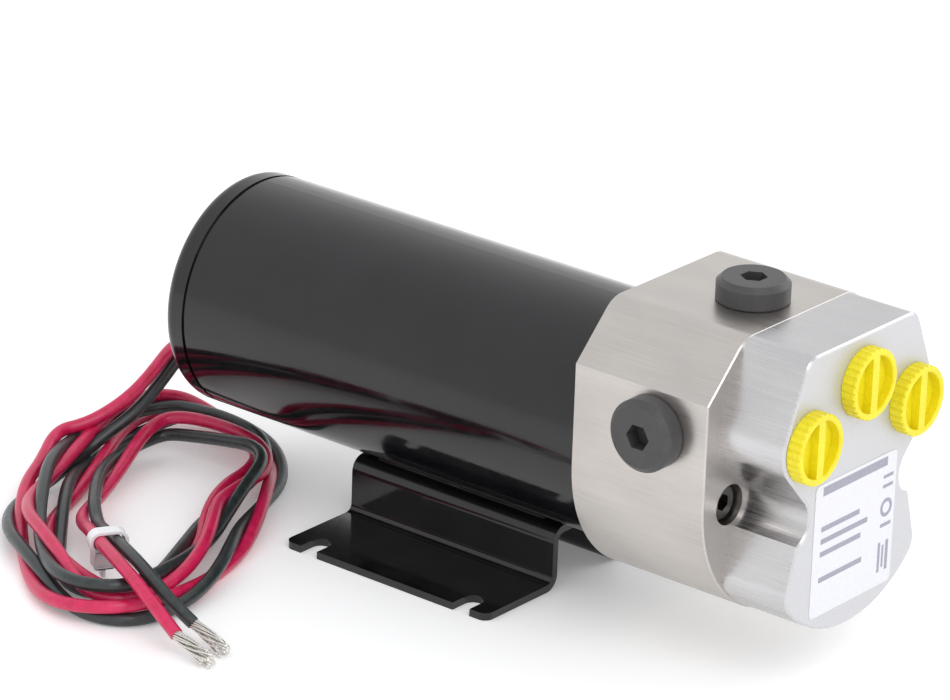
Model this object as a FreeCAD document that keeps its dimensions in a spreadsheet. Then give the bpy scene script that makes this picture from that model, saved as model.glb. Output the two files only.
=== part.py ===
"""A compact reversing hydraulic power unit: a brushed motor on a sheet-steel foot, a gear pump
with its lock valve in one aluminium block, a port housing with three capped ports, and two leads.

Millimetres, +Z up, +X along the motor towards the ports. The origin is on the surface that the
foot stands on, below the middle of the unit.
"""
import FreeCAD, Part
import math
import os
import Sketcher

Vector = FreeCAD.Vector
ALONG_X = Vector(1, 0, 0)
ALONG_Y = Vector(0, 1, 0)
ALONG_Z = Vector(0, 0, 1)

DOC = FreeCAD.newDocument("hydraulic_power_unit")
SHEET = DOC.addObject("Spreadsheet::Sheet", "Sizes")

# The driving dimensions, in millimetres unless the name says degrees, teeth or turns.
DRIVING = {
    # the whole unit
    "axis_height": 48.5,
    "running_gap": 0.06,
    "seal_wire": 1.8,
    "seal_seat": 3.2,
    # motor
    "motor_diameter": 63.0,
    "motor_length": 141.0,
    "can_wall": 2.5,
    "rear_cap_length": 8.0,
    "rear_cap_round": 3.5,
    "front_bell_length": 10.0,
    "bearing_outside": 22.0,
    "bearing_bore": 8.0,
    "bearing_width": 7.0,
    "rear_bearing_at": 7.0,
    "magnet_length": 62.0,
    "magnet_start": 36.0,
    "magnet_thickness": 6.0,
    "pole_gap_width": 9.0,
    "armature_diameter": 44.0,
    "armature_length": 52.0,
    "armature_start": 41.0,
    "armature_slots": 12.0,
    "winding_length": 9.0,
    "winding_diameter": 40.0,
    "winding_bore": 14.0,
    "commutator_diameter": 22.0,
    "commutator_length": 16.0,
    "commutator_start": 21.0,
    "commutator_bars": 12.0,
    "card_thickness": 2.4,
    "brush_width": 6.0,
    "brush_depth": 8.0,
    "brush_length": 9.0,
    "brush_box_wall": 1.0,
    "bolt_size": 4.0,
    "bolt_circle": 25.8,
    "grommet_neck": 9.6,
    "grommet_flange": 11.6,
    "grommet_across": -17.4,
    "grommet_drop": 13.4,
    "grommet_proud": 2.4,
    # mounting foot
    "foot_length": 67.5,
    "foot_width": 78.0,
    "foot_from_pump": 23.0,
    "foot_sheet": 2.0,
    "foot_ridge_width": 25.0,
    "foot_bend": 4.0,
    "foot_corner": 2.5,
    "slot_width": 5.5,
    "slot_depth": 7.75,
    "slot_spacing": 51.0,
    "weld_width": 9.0,
    # pump body
    "body_length": 40.5,
    "body_width": 72.6,
    "body_rise": 41.5,
    "body_chamfer": 13.8,
    "body_shoulder": 8.0,
    "body_lift": 0.8,
    "valve_from_motor": 24.2,
    "valve_height": 16.9,
    "top_plug_from_motor": 26.0,
    "screw_across": 25.5,
    "screw_drop": 1.2,
    "screw_size": 5.0,
    "screw_head": 8.5,
    "screw_key": 4.0,
    "screw_pocket": 10.6,
    "screw_pocket_depth": 7.0,
    # port housing
    "housing_length": 19.5,
    "housing_corner": 5.0,
    "ear_round": 10.0,
    "scallop_round": 6.5,
    "lobe_radius": 35.2,
    "lobe_half_width": 27.5,
    "lobe_corner": 6.0,
    "port_across": 21.3,
    "port_up": 18.7,
    "top_port_up": 29.4,
    "port_bore": 11.8,
    "port_depth": 12.0,
    "broken_edge": 0.6,
    "stud_across_top": 14.5,
    "stud_up": 34.5,
    "stud_across_low": 16.0,
    "stud_down": 24.0,
    "dowel_size": 4.0,
    "dowel_across": 20.5,
    "dowel_drop": 13.0,
    # plugs
    "plug_diameter": 18.7,
    "plug_proud": 6.0,
    "plug_edge": 1.4,
    "plug_hex": 6.0,
    "plug_hex_depth": 4.0,
    "plug_shank": 14.0,
    "plug_reach": 8.0,
    # port caps
    "cap_diameter": 18.2,
    "cap_proud": 4.0,
    "cap_rim": 1.7,
    "cap_recess": 2.6,
    "cap_bar": 2.6,
    "cap_reach": 7.0,
    # gear pump
    "gear_module": 1.25,
    "gear_teeth": 12.0,
    "pressure_degrees": 25.0,
    "gear_backlash": 0.16,
    "gear_width": 10.4,
    "chamber_depth": 10.5,
    "chamber_seal_radius": 17.6,
    "pump_shaft": 8.0,
    "bush_diameter": 12.0,
    "bush_length": 7.5,
    "coupling_diameter": 14.0,
    "coupling_length": 12.0,
    "coupling_start": 2.0,
    "motor_shaft_reach": 7.0,
    "seal_diameter": 16.0,
    "seal_length": 5.0,
    "seal_start": 15.5,
    # lock valve
    "spool_diameter": 10.0,
    "spool_length": 24.0,
    "spool_pin_diameter": 3.0,
    "spool_pin_reach": 16.2,
    "seat_start": 16.0,
    "seat_length": 3.0,
    "seat_bore": 6.0,
    "poppet_diameter": 10.0,
    "poppet_length": 7.0,
    "poppet_pocket": 7.4,
    "poppet_pocket_depth": 3.6,
    "valve_wire": 0.8,
    # label
    "label_width": 34.0,
    "label_height": 35.5,
    "label_thickness": 0.15,
    "label_top": 6.5,
    "label_corner": 1.5,
    # leads
    "lead_diameter": 3.5,
    "tie_width": 3.6,
    "tie_thickness": 1.2,
    "tie_loop_width": 12.0,
    "tie_loop_height": 6.8,
    "strand_reach": 11.5,
    "strand_tip": 1.6,
    "coil_long": 136.0,
    "coil_short": 66.0,
    "coil_band": 24.0,
    "coil_height": 15.0,
    "coil_floor": 0.3,
    "coil_turn_degrees": -56.0,
    "coil_centre_x": -88.0,
    "coil_centre_y": -56.0,
}


class Size:
    """A length that carries its value and the spreadsheet expression that gives it."""

    def __init__(self, value, text):
        self.value = float(value)
        self.text = text

    def __add__(self, other):
        other = size(other)
        return Size(self.value + other.value, f"({self.text} + {other.text})")

    def __sub__(self, other):
        other = size(other)
        return Size(self.value - other.value, f"({self.text} - {other.text})")

    def __rsub__(self, other):
        return size(other) - self

    def __mul__(self, factor):
        factor = size(factor)
        return Size(self.value * factor.value, f"({self.text} * {factor.text})")

    def __truediv__(self, divisor):
        divisor = size(divisor)
        return Size(self.value / divisor.value, f"({self.text} / {divisor.text})")

    def __neg__(self):
        return Size(-self.value, f"(0 - {self.text})")

    __radd__ = __add__
    __rmul__ = __mul__


def size(value):
    if isinstance(value, Size):
        return value
    return Size(value, f"{float(value):.6f}")


def root(value):
    return Size(math.sqrt(value.value), f"sqrt({value.text})")


def fill_sheet():
    for row, (name, value) in enumerate(DRIVING.items(), start=1):
        SHEET.set(f"A{row}", name)
        SHEET.set(f"B{row}", str(value))
        SHEET.setAlias(f"B{row}", name)
    DOC.recompute()


def cell(name):
    return Size(DRIVING[name], f"Sizes.{name}")


fill_sheet()

# Places that several pieces share, worked out from the driving dimensions.
AXIS = cell("axis_height")
FRONT = cell("body_length") + cell("housing_length")
JOINT = (cell("motor_length") - FRONT - cell("cap_proud")) / 2
REAR = JOINT - cell("motor_length")
BODY_FRONT = JOINT + cell("body_length")
HOUSING_FRONT = JOINT + FRONT
CAN_RADIUS = cell("motor_diameter") / 2
CAN_BORE = CAN_RADIUS - cell("can_wall")
CAN_START = REAR + cell("rear_cap_length")
HALF_WIDTH = cell("body_width") / 2
TOP_FLAT = HALF_WIDTH - cell("body_chamfer")
VALVE_X = JOINT + cell("valve_from_motor")
VALVE_Z = AXIS + cell("valve_height")
TOP_PLUG_X = JOINT + cell("top_plug_from_motor")
GAP = cell("running_gap")
GEAR_CENTRES = cell("gear_module") * cell("gear_teeth")
CHAMBER_START = BODY_FRONT - cell("chamber_depth")
SCREW_Z = AXIS - cell("screw_drop")

NODES = []


# ---------------------------------------------------------------- document helpers

def bind(item, name, value):
    """Sets one property of an object and ties it to the sheet."""
    item.setExpression(name, size(value).text)


def keep(item, label):
    """Marks an object as a finished sub-part under its own name."""
    item.Label = label
    NODES.append(item)
    return item


def place(item, x=0, y=0, z=0, rotation=None):
    if rotation is not None:
        item.Placement = FreeCAD.Placement(Vector(0, 0, 0), rotation)
    for name, value in (("x", x), ("y", y), ("z", z)):
        bind(item, f"Placement.Base.{name}", value)
    return item


def towards(direction):
    """The turn that takes +Z to the given direction."""
    return FreeCAD.Rotation(ALONG_Z, direction)


def rod(name, radius, length, x, y, z, direction=ALONG_X):
    """A cylinder whose first end is centred on x, y, z."""
    item = DOC.addObject("Part::Cylinder", name)
    bind(item, "Radius", radius)
    bind(item, "Height", length)
    return place(item, x, y, z, towards(direction))


def slab(name, length, width, height, x, y, z):
    """A box centred on y and z that starts at x."""
    item = DOC.addObject("Part::Box", name)
    bind(item, "Length", length)
    bind(item, "Width", width)
    bind(item, "Height", height)
    return place(item, x, size(y) - size(width) / 2, size(z) - size(height) / 2)


def cut(name, base, *tools):
    """The base with every tool taken away."""
    result = base
    for number, tool in enumerate(tools, start=1):
        item = DOC.addObject("Part::Cut", f"{name}_cut_{number}")
        item.Base = result
        item.Tool = tool
        result = item
    return result


def fuse(name, *pieces):
    item = DOC.addObject("Part::MultiFuse", name)
    item.Shapes = list(pieces)
    return item


def group(name, *pieces):
    """Separate solids that share one node."""
    item = DOC.addObject("Part::Compound", name)
    item.Links = list(pieces)
    return item


def new_body(name):
    return DOC.addObject("PartDesign::Body", name)


def new_sketch(body, name, plane, offset=0):
    """A sketch on one of the body's own origin planes, moved along its normal by offset."""
    sketch = body.newObject("Sketcher::SketchObject", name)
    support = [item for item in body.Origin.OriginFeatures if item.Role == plane][0]
    sketch.AttachmentSupport = [(support, "")]
    sketch.MapMode = "FlatFace"
    bind(sketch, "AttachmentOffset.Base.z", offset)
    return sketch


def constrain(sketch, kind, *parts, value=None):
    number = sketch.addConstraint(Sketcher.Constraint(kind, *parts, size(value).value))
    bind(sketch, f"Constraints[{number}]", value)


def fix_point(sketch, geometry, point, x, y):
    """Holds one point of a sketch at its own distances from the origin."""
    constrain(sketch, "DistanceX", -1, 1, geometry, point, value=x)
    constrain(sketch, "DistanceY", -1, 1, geometry, point, value=y)


def arc_between(start, end, radius):
    """The shorter arc from start to end: anticlockwise for a positive radius."""
    middle = (start + end) * 0.5
    half = (end - start).Length / 2
    reach = math.sqrt(max(radius * radius - half * half, 0))
    across = Vector(-(end - start).y, (end - start).x, 0)
    across.normalize()
    side = 1 if radius > 0 else -1
    centre = middle + across * reach * side
    bulge = middle - across * side * (abs(radius) - reach)
    return Part.Arc(start, bulge, end), centre


def outline(sketch, points):
    """A closed outline. Each point is (x, y), or (x, y, radius) where an arc leaves it."""
    count = len(points)
    spots = [Vector(size(point[0]).value, size(point[1]).value, 0) for point in points]
    first = None
    numbers = []
    for index, point in enumerate(points):
        start, end = spots[index], spots[(index + 1) % count]
        if len(point) == 3:
            edge, _ = arc_between(start, end, size(point[2]).value)
            numbers.append(sketch.addGeometry(edge))
        else:
            numbers.append(sketch.addGeometry(Part.LineSegment(start, end)))
    first = numbers[0]
    for index, point in enumerate(points):
        here = numbers[index]
        following = numbers[(index + 1) % count]
        start_of = [1, 2]
        if len(point) == 3:
            start_of = ends_of(sketch, here, spots[index])
            constrain(sketch, "Radius", here, value=abs_size(point[2]))
        next_ends = ends_of(sketch, following, spots[(index + 1) % count])
        sketch.addConstraint(
            Sketcher.Constraint("Coincident", here, start_of[1], following, next_ends[0]))
    for index, point in enumerate(points):
        here = numbers[index]
        fix_point(sketch, here, ends_of(sketch, here, spots[index])[0], point[0], point[1])
    return first


def abs_size(value):
    value = size(value)
    return -value if value.value < 0 else value


def ends_of(sketch, number, spot):
    """The point numbers of an edge, the one at the given spot first."""
    near_start = (sketch.getPoint(number, 1) - spot).Length
    near_end = (sketch.getPoint(number, 2) - spot).Length
    return [1, 2] if near_start <= near_end else [2, 1]


def ring(sketch, radius, x=0, y=0):
    number = sketch.addGeometry(
        Part.Circle(Vector(size(x).value, size(y).value, 0), ALONG_Z, size(radius).value))
    constrain(sketch, "Radius", number, value=radius)
    fix_point(sketch, number, 3, x, y)


def pad(body, sketch, name, length, reversed_way=False):
    item = body.newObject("PartDesign::Pad", name)
    item.Profile = sketch
    bind(item, "Length", length)
    item.Reversed = reversed_way
    return item


def pocket(body, sketch, name, length, reversed_way=False):
    """A pocket that is proved to remove material."""
    DOC.recompute()
    before = body.Shape.Volume
    item = body.newObject("PartDesign::Pocket", name)
    item.Profile = sketch
    bind(item, "Length", length)
    item.Reversed = reversed_way
    DOC.recompute()
    if body.Shape.Volume > before - 0.01:
        raise RuntimeError(f"{body.Name}: {name} removes nothing")
    return item


def edges_where(item, test):
    """The names of the edges of a feature whose middle point passes the test."""
    DOC.recompute()
    names = []
    for number, edge in enumerate(item.Shape.Edges, start=1):
        middle = edge.valueAt((edge.FirstParameter + edge.LastParameter) / 2)
        if test(edge, middle):
            names.append(f"Edge{number}")
    return names


def round_edges(body, base, name, radius, test):
    item = body.newObject("PartDesign::Fillet", name)
    item.Base = (base, edges_where(base, test))
    bind(item, "Radius", radius)
    return item


def bevel_edges(body, base, name, width, test):
    item = body.newObject("PartDesign::Chamfer", name)
    item.Base = (base, edges_where(base, test))
    bind(item, "Size", width)
    return item


def turned(name, profile, x, y, z, direction=ALONG_X):
    """A turned piece: a closed profile of (distance along, radius) spun about its own axis."""
    body = new_body(name)
    sketch = new_sketch(body, f"{name}_profile", "XZ_Plane")
    outline(sketch, profile)
    spin = body.newObject("PartDesign::Revolution", f"{name}_turn")
    spin.Profile = sketch
    spin.ReferenceAxis = (sketch, ["H_Axis"])
    spin.Angle = 360
    body.Tip = spin
    return place(body, x, y, z, FreeCAD.Rotation(ALONG_X, direction))


def hexagon(sketch, across_flats, x=0, y=0):
    corner = size(across_flats) / math.sqrt(3)
    points = []
    for step in range(6):
        angle = math.radians(60 * step)
        points.append((size(x) + corner * math.cos(angle), size(y) + corner * math.sin(angle)))
    outline(sketch, points)


def spring(name, mean_radius, wire, length, turns, x, y, z, direction):
    """A compression spring whose wire stays between its two end planes."""
    helix = DOC.addObject("Part::Helix", f"{name}_line")
    bind(helix, "Radius", mean_radius)
    bind(helix, "Height", size(length) - wire)
    bind(helix, "Pitch", (size(length) - wire) / turns)
    circle = DOC.addObject("Part::Circle", f"{name}_wire")
    bind(circle, "Radius", size(wire) / 2)
    place(circle, x=mean_radius, rotation=FreeCAD.Rotation(ALONG_X, 90))
    sweep = DOC.addObject("Part::Sweep", name)
    sweep.Sections = [circle]
    sweep.Spine = helix
    sweep.Solid = True
    sweep.Frenet = True
    way = Vector(direction)
    lift = size(wire) / 2
    return place(sweep, size(x) + lift * way.x, size(y) + lift * way.y, size(z) + lift * way.z,
                 towards(direction))


# ---------------------------------------------------------------- motor

def motor_can():
    """The drawn steel tube that carries the magnets."""
    length = cell("motor_length") - cell("rear_cap_length")
    body = turned("motor_can", [(0, CAN_BORE), (length, CAN_BORE), (length, CAN_RADIUS),
                                (0, CAN_RADIUS)], CAN_START, 0, AXIS)
    keep(body, "motor_can")


def rear_end_cap():
    """The rear cover: a rounded plate with a spigot in the can and a bearing boss."""
    length = cell("rear_cap_length")
    spigot = length + 4
    boss = cell("rear_bearing_at") + cell("bearing_width")
    pocket_radius = cell("bearing_outside") / 2
    edge = cell("rear_cap_round")
    profile = [
        (0, 0),
        (0, CAN_RADIUS - edge, -edge),
        (edge, CAN_RADIUS),
        (length - 1.1, CAN_RADIUS),
        (length - 1.1, CAN_RADIUS - 0.5),
        (length, CAN_RADIUS - 0.5),
        (length, CAN_BORE),
        (spigot, CAN_BORE),
        (spigot, CAN_BORE - 2.5),
        (length, CAN_BORE - 2.5),
        (length, pocket_radius + 3),
        (boss, pocket_radius + 3),
        (boss, pocket_radius),
        (cell("rear_bearing_at"), pocket_radius),
        (cell("rear_bearing_at"), 0),
    ]
    body = turned("rear_end_cap", profile, REAR, 0, AXIS)
    sketch = new_sketch(body, "bolt_pockets", "YZ_Plane")
    holes = new_sketch(body, "bolt_holes", "YZ_Plane")
    for side in (1, -1):
        ring(sketch, 4.0, 0, cell("bolt_circle") * side)
        ring(holes, cell("bolt_size") / 2 + 0.1, 0, cell("bolt_circle") * side)
    pocket(body, sketch, "bolt_head_pockets", 4.6, reversed_way=True)
    pocket(body, holes, "bolt_clearance", length + 5, reversed_way=True)
    window = new_sketch(body, "grommet_window", "YZ_Plane")
    ring(window, cell("grommet_neck") / 2, cell("grommet_across"), -cell("grommet_drop"))
    pocket(body, window, "grommet_window_cut", length + 5, reversed_way=True)
    keep(body, "rear_end_cap")


def lead_places():
    """Where the red and the black lead leave the rear cover: name, y and z from the axis."""
    across, down = cell("grommet_across"), -cell("grommet_drop")
    return (("red", across - 1.2, down + 1.7), ("black", across + 1.2, down - 1.7))


def lead_grommet():
    """The round rubber grommet in the rear cover, with a hole for each lead."""
    neck, flange = cell("grommet_neck") / 2, cell("grommet_flange") / 2
    proud, inside = cell("grommet_proud"), cell("rear_cap_length") + 1.5
    profile = [(-proud, 0), (-proud, flange - 1.6, -1.6), (-proud + 1.6, flange), (0, flange),
               (0, neck), (inside, neck), (inside, 0)]
    body = turned("lead_grommet", profile, REAR, cell("grommet_across"),
                  AXIS - cell("grommet_drop"))
    holes = new_sketch(body, "lead_holes", "YZ_Plane", -proud)
    for _, y, z in lead_places():
        ring(holes, cell("lead_diameter") / 2, y - cell("grommet_across"),
             z + cell("grommet_drop"))
    pocket(body, holes, "lead_hole_cut", proud + inside, reversed_way=True)
    keep(body, "lead_grommet")


def front_end_bell():
    """The plate inside the can's front end that carries the front bearing."""
    length = cell("front_bell_length")
    pocket_radius = cell("bearing_outside") / 2
    profile = [(0, pocket_radius), (0, CAN_BORE), (length, CAN_BORE), (length, 6.5),
               (cell("bearing_width"), 6.5), (cell("bearing_width"), pocket_radius)]
    body = turned("front_end_bell", profile, JOINT - length, 0, AXIS)
    holes = new_sketch(body, "bell_holes", "YZ_Plane")
    for side in (1, -1):
        ring(holes, cell("bolt_size") / 2 + 0.1, 0, cell("bolt_circle") * side)
        ring(holes, cell("screw_size") / 2, cell("screw_across") * side, -cell("screw_drop"))
    pocket(body, holes, "bell_hole_cut", length, reversed_way=True)
    keep(body, "front_end_bell")


def ball_bearing(name, x):
    """A deep-groove ball bearing: its outer ring and balls in one node. Returns the inner ring."""
    inner, outer = cell("bearing_bore") / 2, cell("bearing_outside") / 2
    width = cell("bearing_width")
    middle = (inner + outer) / 2
    thickness = (outer - inner) * 0.27
    rings = {}
    for part, low, high, relief in (("inner", inner, inner + thickness, size(0.2)),
                                    ("outer", outer - thickness, outer, size(0))):
        raw = cut(f"{name}_{part}_ring",
                  rod(f"{name}_{part}_rod", high, width - relief * 2, x + relief, 0, AXIS),
                  rod(f"{name}_{part}_bore", low, width, x, 0, AXIS))
        groove = DOC.addObject("Part::Torus", f"{name}_{part}_groove")
        bind(groove, "Radius1", middle)
        bind(groove, "Radius2", (outer - inner) * 0.3)
        place(groove, x + width / 2, 0, AXIS, towards(ALONG_X))
        rings[part] = cut(f"{name}_{part}_race", raw, groove)
    balls = []
    for step in range(7):
        angle = 2 * math.pi * step / 7
        ball = DOC.addObject("Part::Sphere", f"{name}_ball_{step + 1}")
        bind(ball, "Radius", (outer - inner) * 0.3 - 0.03)
        balls.append(place(ball, x + width / 2, middle * math.cos(angle),
                           AXIS + middle * math.sin(angle)))
    keep(group(name, rings["outer"], *balls), name)
    return rings["inner"]


def bearings():
    rear = ball_bearing("rear_bearing", REAR + cell("rear_bearing_at"))
    front = ball_bearing("front_bearing", JOINT - cell("front_bell_length"))
    keep(group("bearing_inner_rings", rear, front), "bearing_inner_rings")


def field_magnets():
    """Two curved ferrite magnets inside the can, with a gap for the long bolts between them."""
    start = JOINT - cell("magnet_start") - cell("magnet_length")
    length = cell("magnet_length")
    inner = CAN_BORE - cell("magnet_thickness")
    tube = cut("magnet_tube", rod("magnet_outside", CAN_BORE, length, start, 0, AXIS),
               rod("magnet_inside", inner, length, start, 0, AXIS),
               slab("magnet_gaps", length, cell("pole_gap_width"), cell("motor_diameter"),
                    start, 0, AXIS))
    keep(tube, "field_magnets")


def long_bolts():
    """The two long bolts that clamp the rear cover and the can to the pump body."""
    pieces = []
    head_x = REAR + 1.0
    for side, name in ((1, "upper"), (-1, "lower")):
        height = AXIS + cell("bolt_circle") * side
        head = rod(f"{name}_bolt_head", 3.5, 3.6, head_x, 0, height)
        shank = rod(f"{name}_bolt_shank", cell("bolt_size") / 2,
                    cell("motor_length") + 7.0, head_x + 3.6, 0, height)
        socket = DOC.addObject("Part::Prism", f"{name}_bolt_socket")
        socket.Polygon = 6
        bind(socket, "Circumradius", 1.75)
        bind(socket, "Height", 2.0)
        place(socket, head_x, 0, height, towards(ALONG_X))
        pieces.append(cut(f"{name}_long_bolt", fuse(f"{name}_bolt_blank", head, shank), socket))
    keep(group("long_bolts", *pieces), "long_bolts")


def motor_shaft():
    """The armature's shaft, stepped down to the bearings at both ends."""
    start = REAR + cell("rear_bearing_at") + 0.4
    end = JOINT + cell("motor_shaft_reach")
    rear_step = REAR + cell("rear_bearing_at") + cell("bearing_width")
    front_step = JOINT - cell("front_bell_length")
    thick, thin = size(5.0), cell("bearing_bore") / 2
    profile = [(0, 0), (0, thin), (rear_step - start, thin), (rear_step - start, thick),
               (front_step - start, thick), (front_step - start, thin), (end - start, thin),
               (end - start, 0)]
    keep(turned("motor_shaft", profile, start, 0, AXIS), "motor_shaft")


def armature_core():
    """The laminated stack with its open slots."""
    start = JOINT - cell("armature_start") - cell("armature_length")
    length = cell("armature_length")
    radius = cell("armature_diameter") / 2
    core = cut("armature_ring", rod("armature_outside", radius, length, start, 0, AXIS),
               rod("armature_bore", 5.0, length, start, 0, AXIS))
    slots = []
    count = int(DRIVING["armature_slots"])
    for step in range(count):
        angle = 360.0 * step / count
        slots.append(radial_box(f"armature_slot_{step + 1}", length, 3.2, 7.0, start,
                                radius - 9.5, angle))
        slots.append(radial_box(f"armature_mouth_{step + 1}", length, 1.6, 4.0, start,
                                radius - 3.0, angle))
    keep(cut("armature_core", core, fuse("armature_slots", *slots)), "armature_core")


def radial_box(name, length, width, height, x, radius, degrees):
    """A box that starts at a radius from the motor axis and points outwards."""
    item = DOC.addObject("Part::Box", name)
    bind(item, "Length", length)
    bind(item, "Width", width)
    bind(item, "Height", height)
    angle = math.radians(degrees)
    half = size(width) / 2
    y = -half * math.cos(angle) - radius * math.sin(angle)
    z = AXIS - half * math.sin(angle) + radius * math.cos(angle)
    return place(item, x, y, z, FreeCAD.Rotation(ALONG_X, degrees))


def armature_windings():
    """The copper: an overhang at each end of the stack and the wire that fills its slots."""
    core_start = JOINT - cell("armature_start") - cell("armature_length")
    core_end = JOINT - cell("armature_start")
    length = cell("winding_length")
    half = cell("winding_diameter") / 2
    hole = cell("winding_bore") / 2
    edge = size(3.5)
    pieces = []
    for name, start, outer_end in (("rear", core_start - length, 0), ("front", core_end, 1)):
        soft = [(0, hole), (0, half - edge, -edge), (edge, half), (length, half), (length, hole)]
        if outer_end:
            soft = [(0, hole), (0, half), (length - edge, half, -edge), (length, half - edge),
                    (length, hole)]
        pieces.append(turned(f"{name}_winding_head", soft, start, 0, AXIS))
    count = int(DRIVING["armature_slots"])
    for step in range(count):
        pieces.append(radial_box(f"slot_wire_{step + 1}", cell("armature_length"), 3.0, 5.8,
                                 core_start, cell("armature_diameter") / 2 - 9.2,
                                 360.0 * step / count))
    keep(fuse("armature_windings", *pieces), "armature_windings")


def commutator():
    """Copper bars round a moulded hub, parted by narrow slots."""
    start = REAR + cell("commutator_start")
    length = cell("commutator_length")
    radius = cell("commutator_diameter") / 2
    core = cut("commutator_ring", rod("commutator_outside", radius, length, start, 0, AXIS),
               rod("commutator_bore", 5.0, length, start, 0, AXIS))
    count = int(DRIVING["commutator_bars"])
    slots = [radial_box(f"bar_slot_{step + 1}", length, 0.5, 2.0, start, radius - 1.4,
                        360.0 * step / count) for step in range(count)]
    keep(cut("commutator", core, fuse("bar_slots", *slots)), "commutator")


def brush_middle():
    return REAR + cell("commutator_start") + cell("commutator_length") / 2 + 0.5


def brush_gear():
    """The insulating card with its two brush boxes, the brushes and their springs."""
    width, depth = cell("brush_width"), cell("brush_depth")
    wall = cell("brush_box_wall")
    contact = cell("commutator_diameter") / 2 + 0.05
    middle = brush_middle()
    card_x = middle - depth / 2 - wall - cell("card_thickness")
    box_start = contact + 0.8
    box_end = CAN_BORE - 2.6
    parts = [cut("card_disc",
                 rod("card_outside", CAN_BORE - 0.1, cell("card_thickness"), card_x, 0, AXIS),
                 rod("card_hole", contact + 1.5, cell("card_thickness"), card_x, 0, AXIS),
                 *[rod(f"card_bolt_hole_{side}", 3.0, cell("card_thickness"), card_x, 0,
                       AXIS + cell("bolt_circle") * side) for side in (1, -1)])]
    for side, name in ((1, "left"), (-1, "right")):
        centre = (box_start + box_end) / 2 * side
        shell = slab(f"{name}_brush_box_outside", depth + wall * 2, box_end - box_start,
                     width + wall * 2, middle - depth / 2 - wall, centre, AXIS)
        hollow = slab(f"{name}_brush_box_inside", depth + GAP * 2, box_end - box_start + 2,
                      width + GAP * 2, middle - depth / 2 - GAP, centre - side * 1.0 - side * wall,
                      AXIS)
        parts.append(cut(f"{name}_brush_box", shell, hollow))
    keep(fuse("brush_card", *parts), "brush_card")
    length = cell("brush_length")
    for side, name in ((1, "left"), (-1, "right")):
        block = slab(f"{name}_brush_block", depth, length, width, middle - depth / 2,
                     (contact + length / 2) * side, AXIS)
        hollow = rod(f"{name}_brush_curve", contact, depth, middle - depth / 2, 0, AXIS)
        keep(cut(f"{name}_brush_cut", block, hollow), f"{name}_brush")
        room = box_end - wall * 2 - contact - length
        way = ALONG_Y * side
        keep(spring(f"{name}_brush_coil", 2.2, 0.6, room, 5, middle,
                    (contact + length) * side, AXIS, way), f"{name}_brush_spring")


# ---------------------------------------------------------------- mounting foot

def mounting_bracket():
    """The hat-section foot, bent from sheet, with two open slots in each flange."""
    body = new_body("mounting_bracket")
    sketch = new_sketch(body, "hat_section", "YZ_Plane")
    sheet = cell("foot_sheet")
    top = AXIS - CAN_RADIUS
    ridge = cell("foot_ridge_width") / 2
    edge = cell("foot_width") / 2
    points = [
        (-edge, 0), (-ridge + sheet, 0), (-ridge + sheet, top - sheet),
        (ridge - sheet, top - sheet), (ridge - sheet, 0), (edge, 0),
        (edge, sheet), (ridge, sheet), (ridge, top), (-ridge, top), (-ridge, sheet),
        (-edge, sheet),
    ]
    outline(sketch, points)
    bar = pad(body, sketch, "hat_bar", cell("foot_length"))
    bend = cell("foot_bend")
    inner = bend - sheet

    def outer_bend(edge_item, middle):
        along = edge_item.BoundBox.XLength > cell("foot_length").value - 0.01
        on_top = abs(abs(middle.y) - ridge.value) < 0.01 and abs(middle.z - top.value) < 0.01
        inside = abs(abs(middle.y) - (ridge - sheet).value) < 0.01 and middle.z < 0.01
        return along and (on_top or inside)

    def inner_bend(edge_item, middle):
        along = edge_item.BoundBox.XLength > cell("foot_length").value - 0.01
        under = (abs(abs(middle.y) - (ridge - sheet).value) < 0.01
                 and abs(middle.z - (top - sheet).value) < 0.01)
        foot = abs(abs(middle.y) - ridge.value) < 0.01 and abs(middle.z - sheet.value) < 0.01
        return along and (under or foot)

    wide = round_edges(body, bar, "wide_bends", bend, outer_bend)
    tight = round_edges(body, wide, "tight_bends", inner, inner_bend)

    def foot_corner(edge_item, middle):
        upright = edge_item.BoundBox.ZLength > sheet.value - 0.01
        return upright and abs(abs(middle.y) - edge.value) < 0.01

    round_edges(body, tight, "foot_corners", cell("foot_corner"), foot_corner)
    slots = new_sketch(body, "open_slots", "XY_Plane")
    half = cell("slot_width") / 2
    inner_end = edge - cell("slot_depth") + half
    for side in (1, -1):
        for along in (-1, 1):
            x = cell("foot_length") / 2 + cell("slot_spacing") / 2 * along
            outline(slots, [(x - half, inner_end * side), (x, (inner_end - half) * side),
                            (x + half, inner_end * side), (x + half, (edge + 1) * side),
                            (x - half, (edge + 1) * side)])
    pocket(body, slots, "open_slot_cut", sheet, reversed_way=True)
    ends = new_sketch(body, "slot_ends", "XY_Plane")
    for side in (1, -1):
        for along in (-1, 1):
            x = cell("foot_length") / 2 + cell("slot_spacing") / 2 * along
            ring(ends, half, x, inner_end * side)
    pocket(body, ends, "slot_end_cut", sheet, reversed_way=True)
    place(body, JOINT - cell("foot_from_pump") - cell("foot_length"), 0, 0)
    keep(body, "mounting_bracket")


def bracket_welds():
    """Two weld runs in the corners between the can and the top of the foot."""
    start = JOINT - cell("foot_from_pump") - cell("foot_length") + 6
    length = cell("foot_length") - 12
    top = AXIS - CAN_RADIUS
    pieces = []
    for side, name in ((1, "left"), (-1, "right")):
        bead = slab(f"{name}_weld_bar", length, cell("weld_width") / 2, 1.3, start,
                    cell("weld_width") * 0.75 * side, top + 0.65)
        can = rod(f"{name}_weld_can", CAN_RADIUS, length, start, 0, AXIS)
        pieces.append(cut(f"{name}_weld", bead, can))
    keep(group("bracket_welds", *pieces), "bracket_welds")


# ---------------------------------------------------------------- pump body

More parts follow.
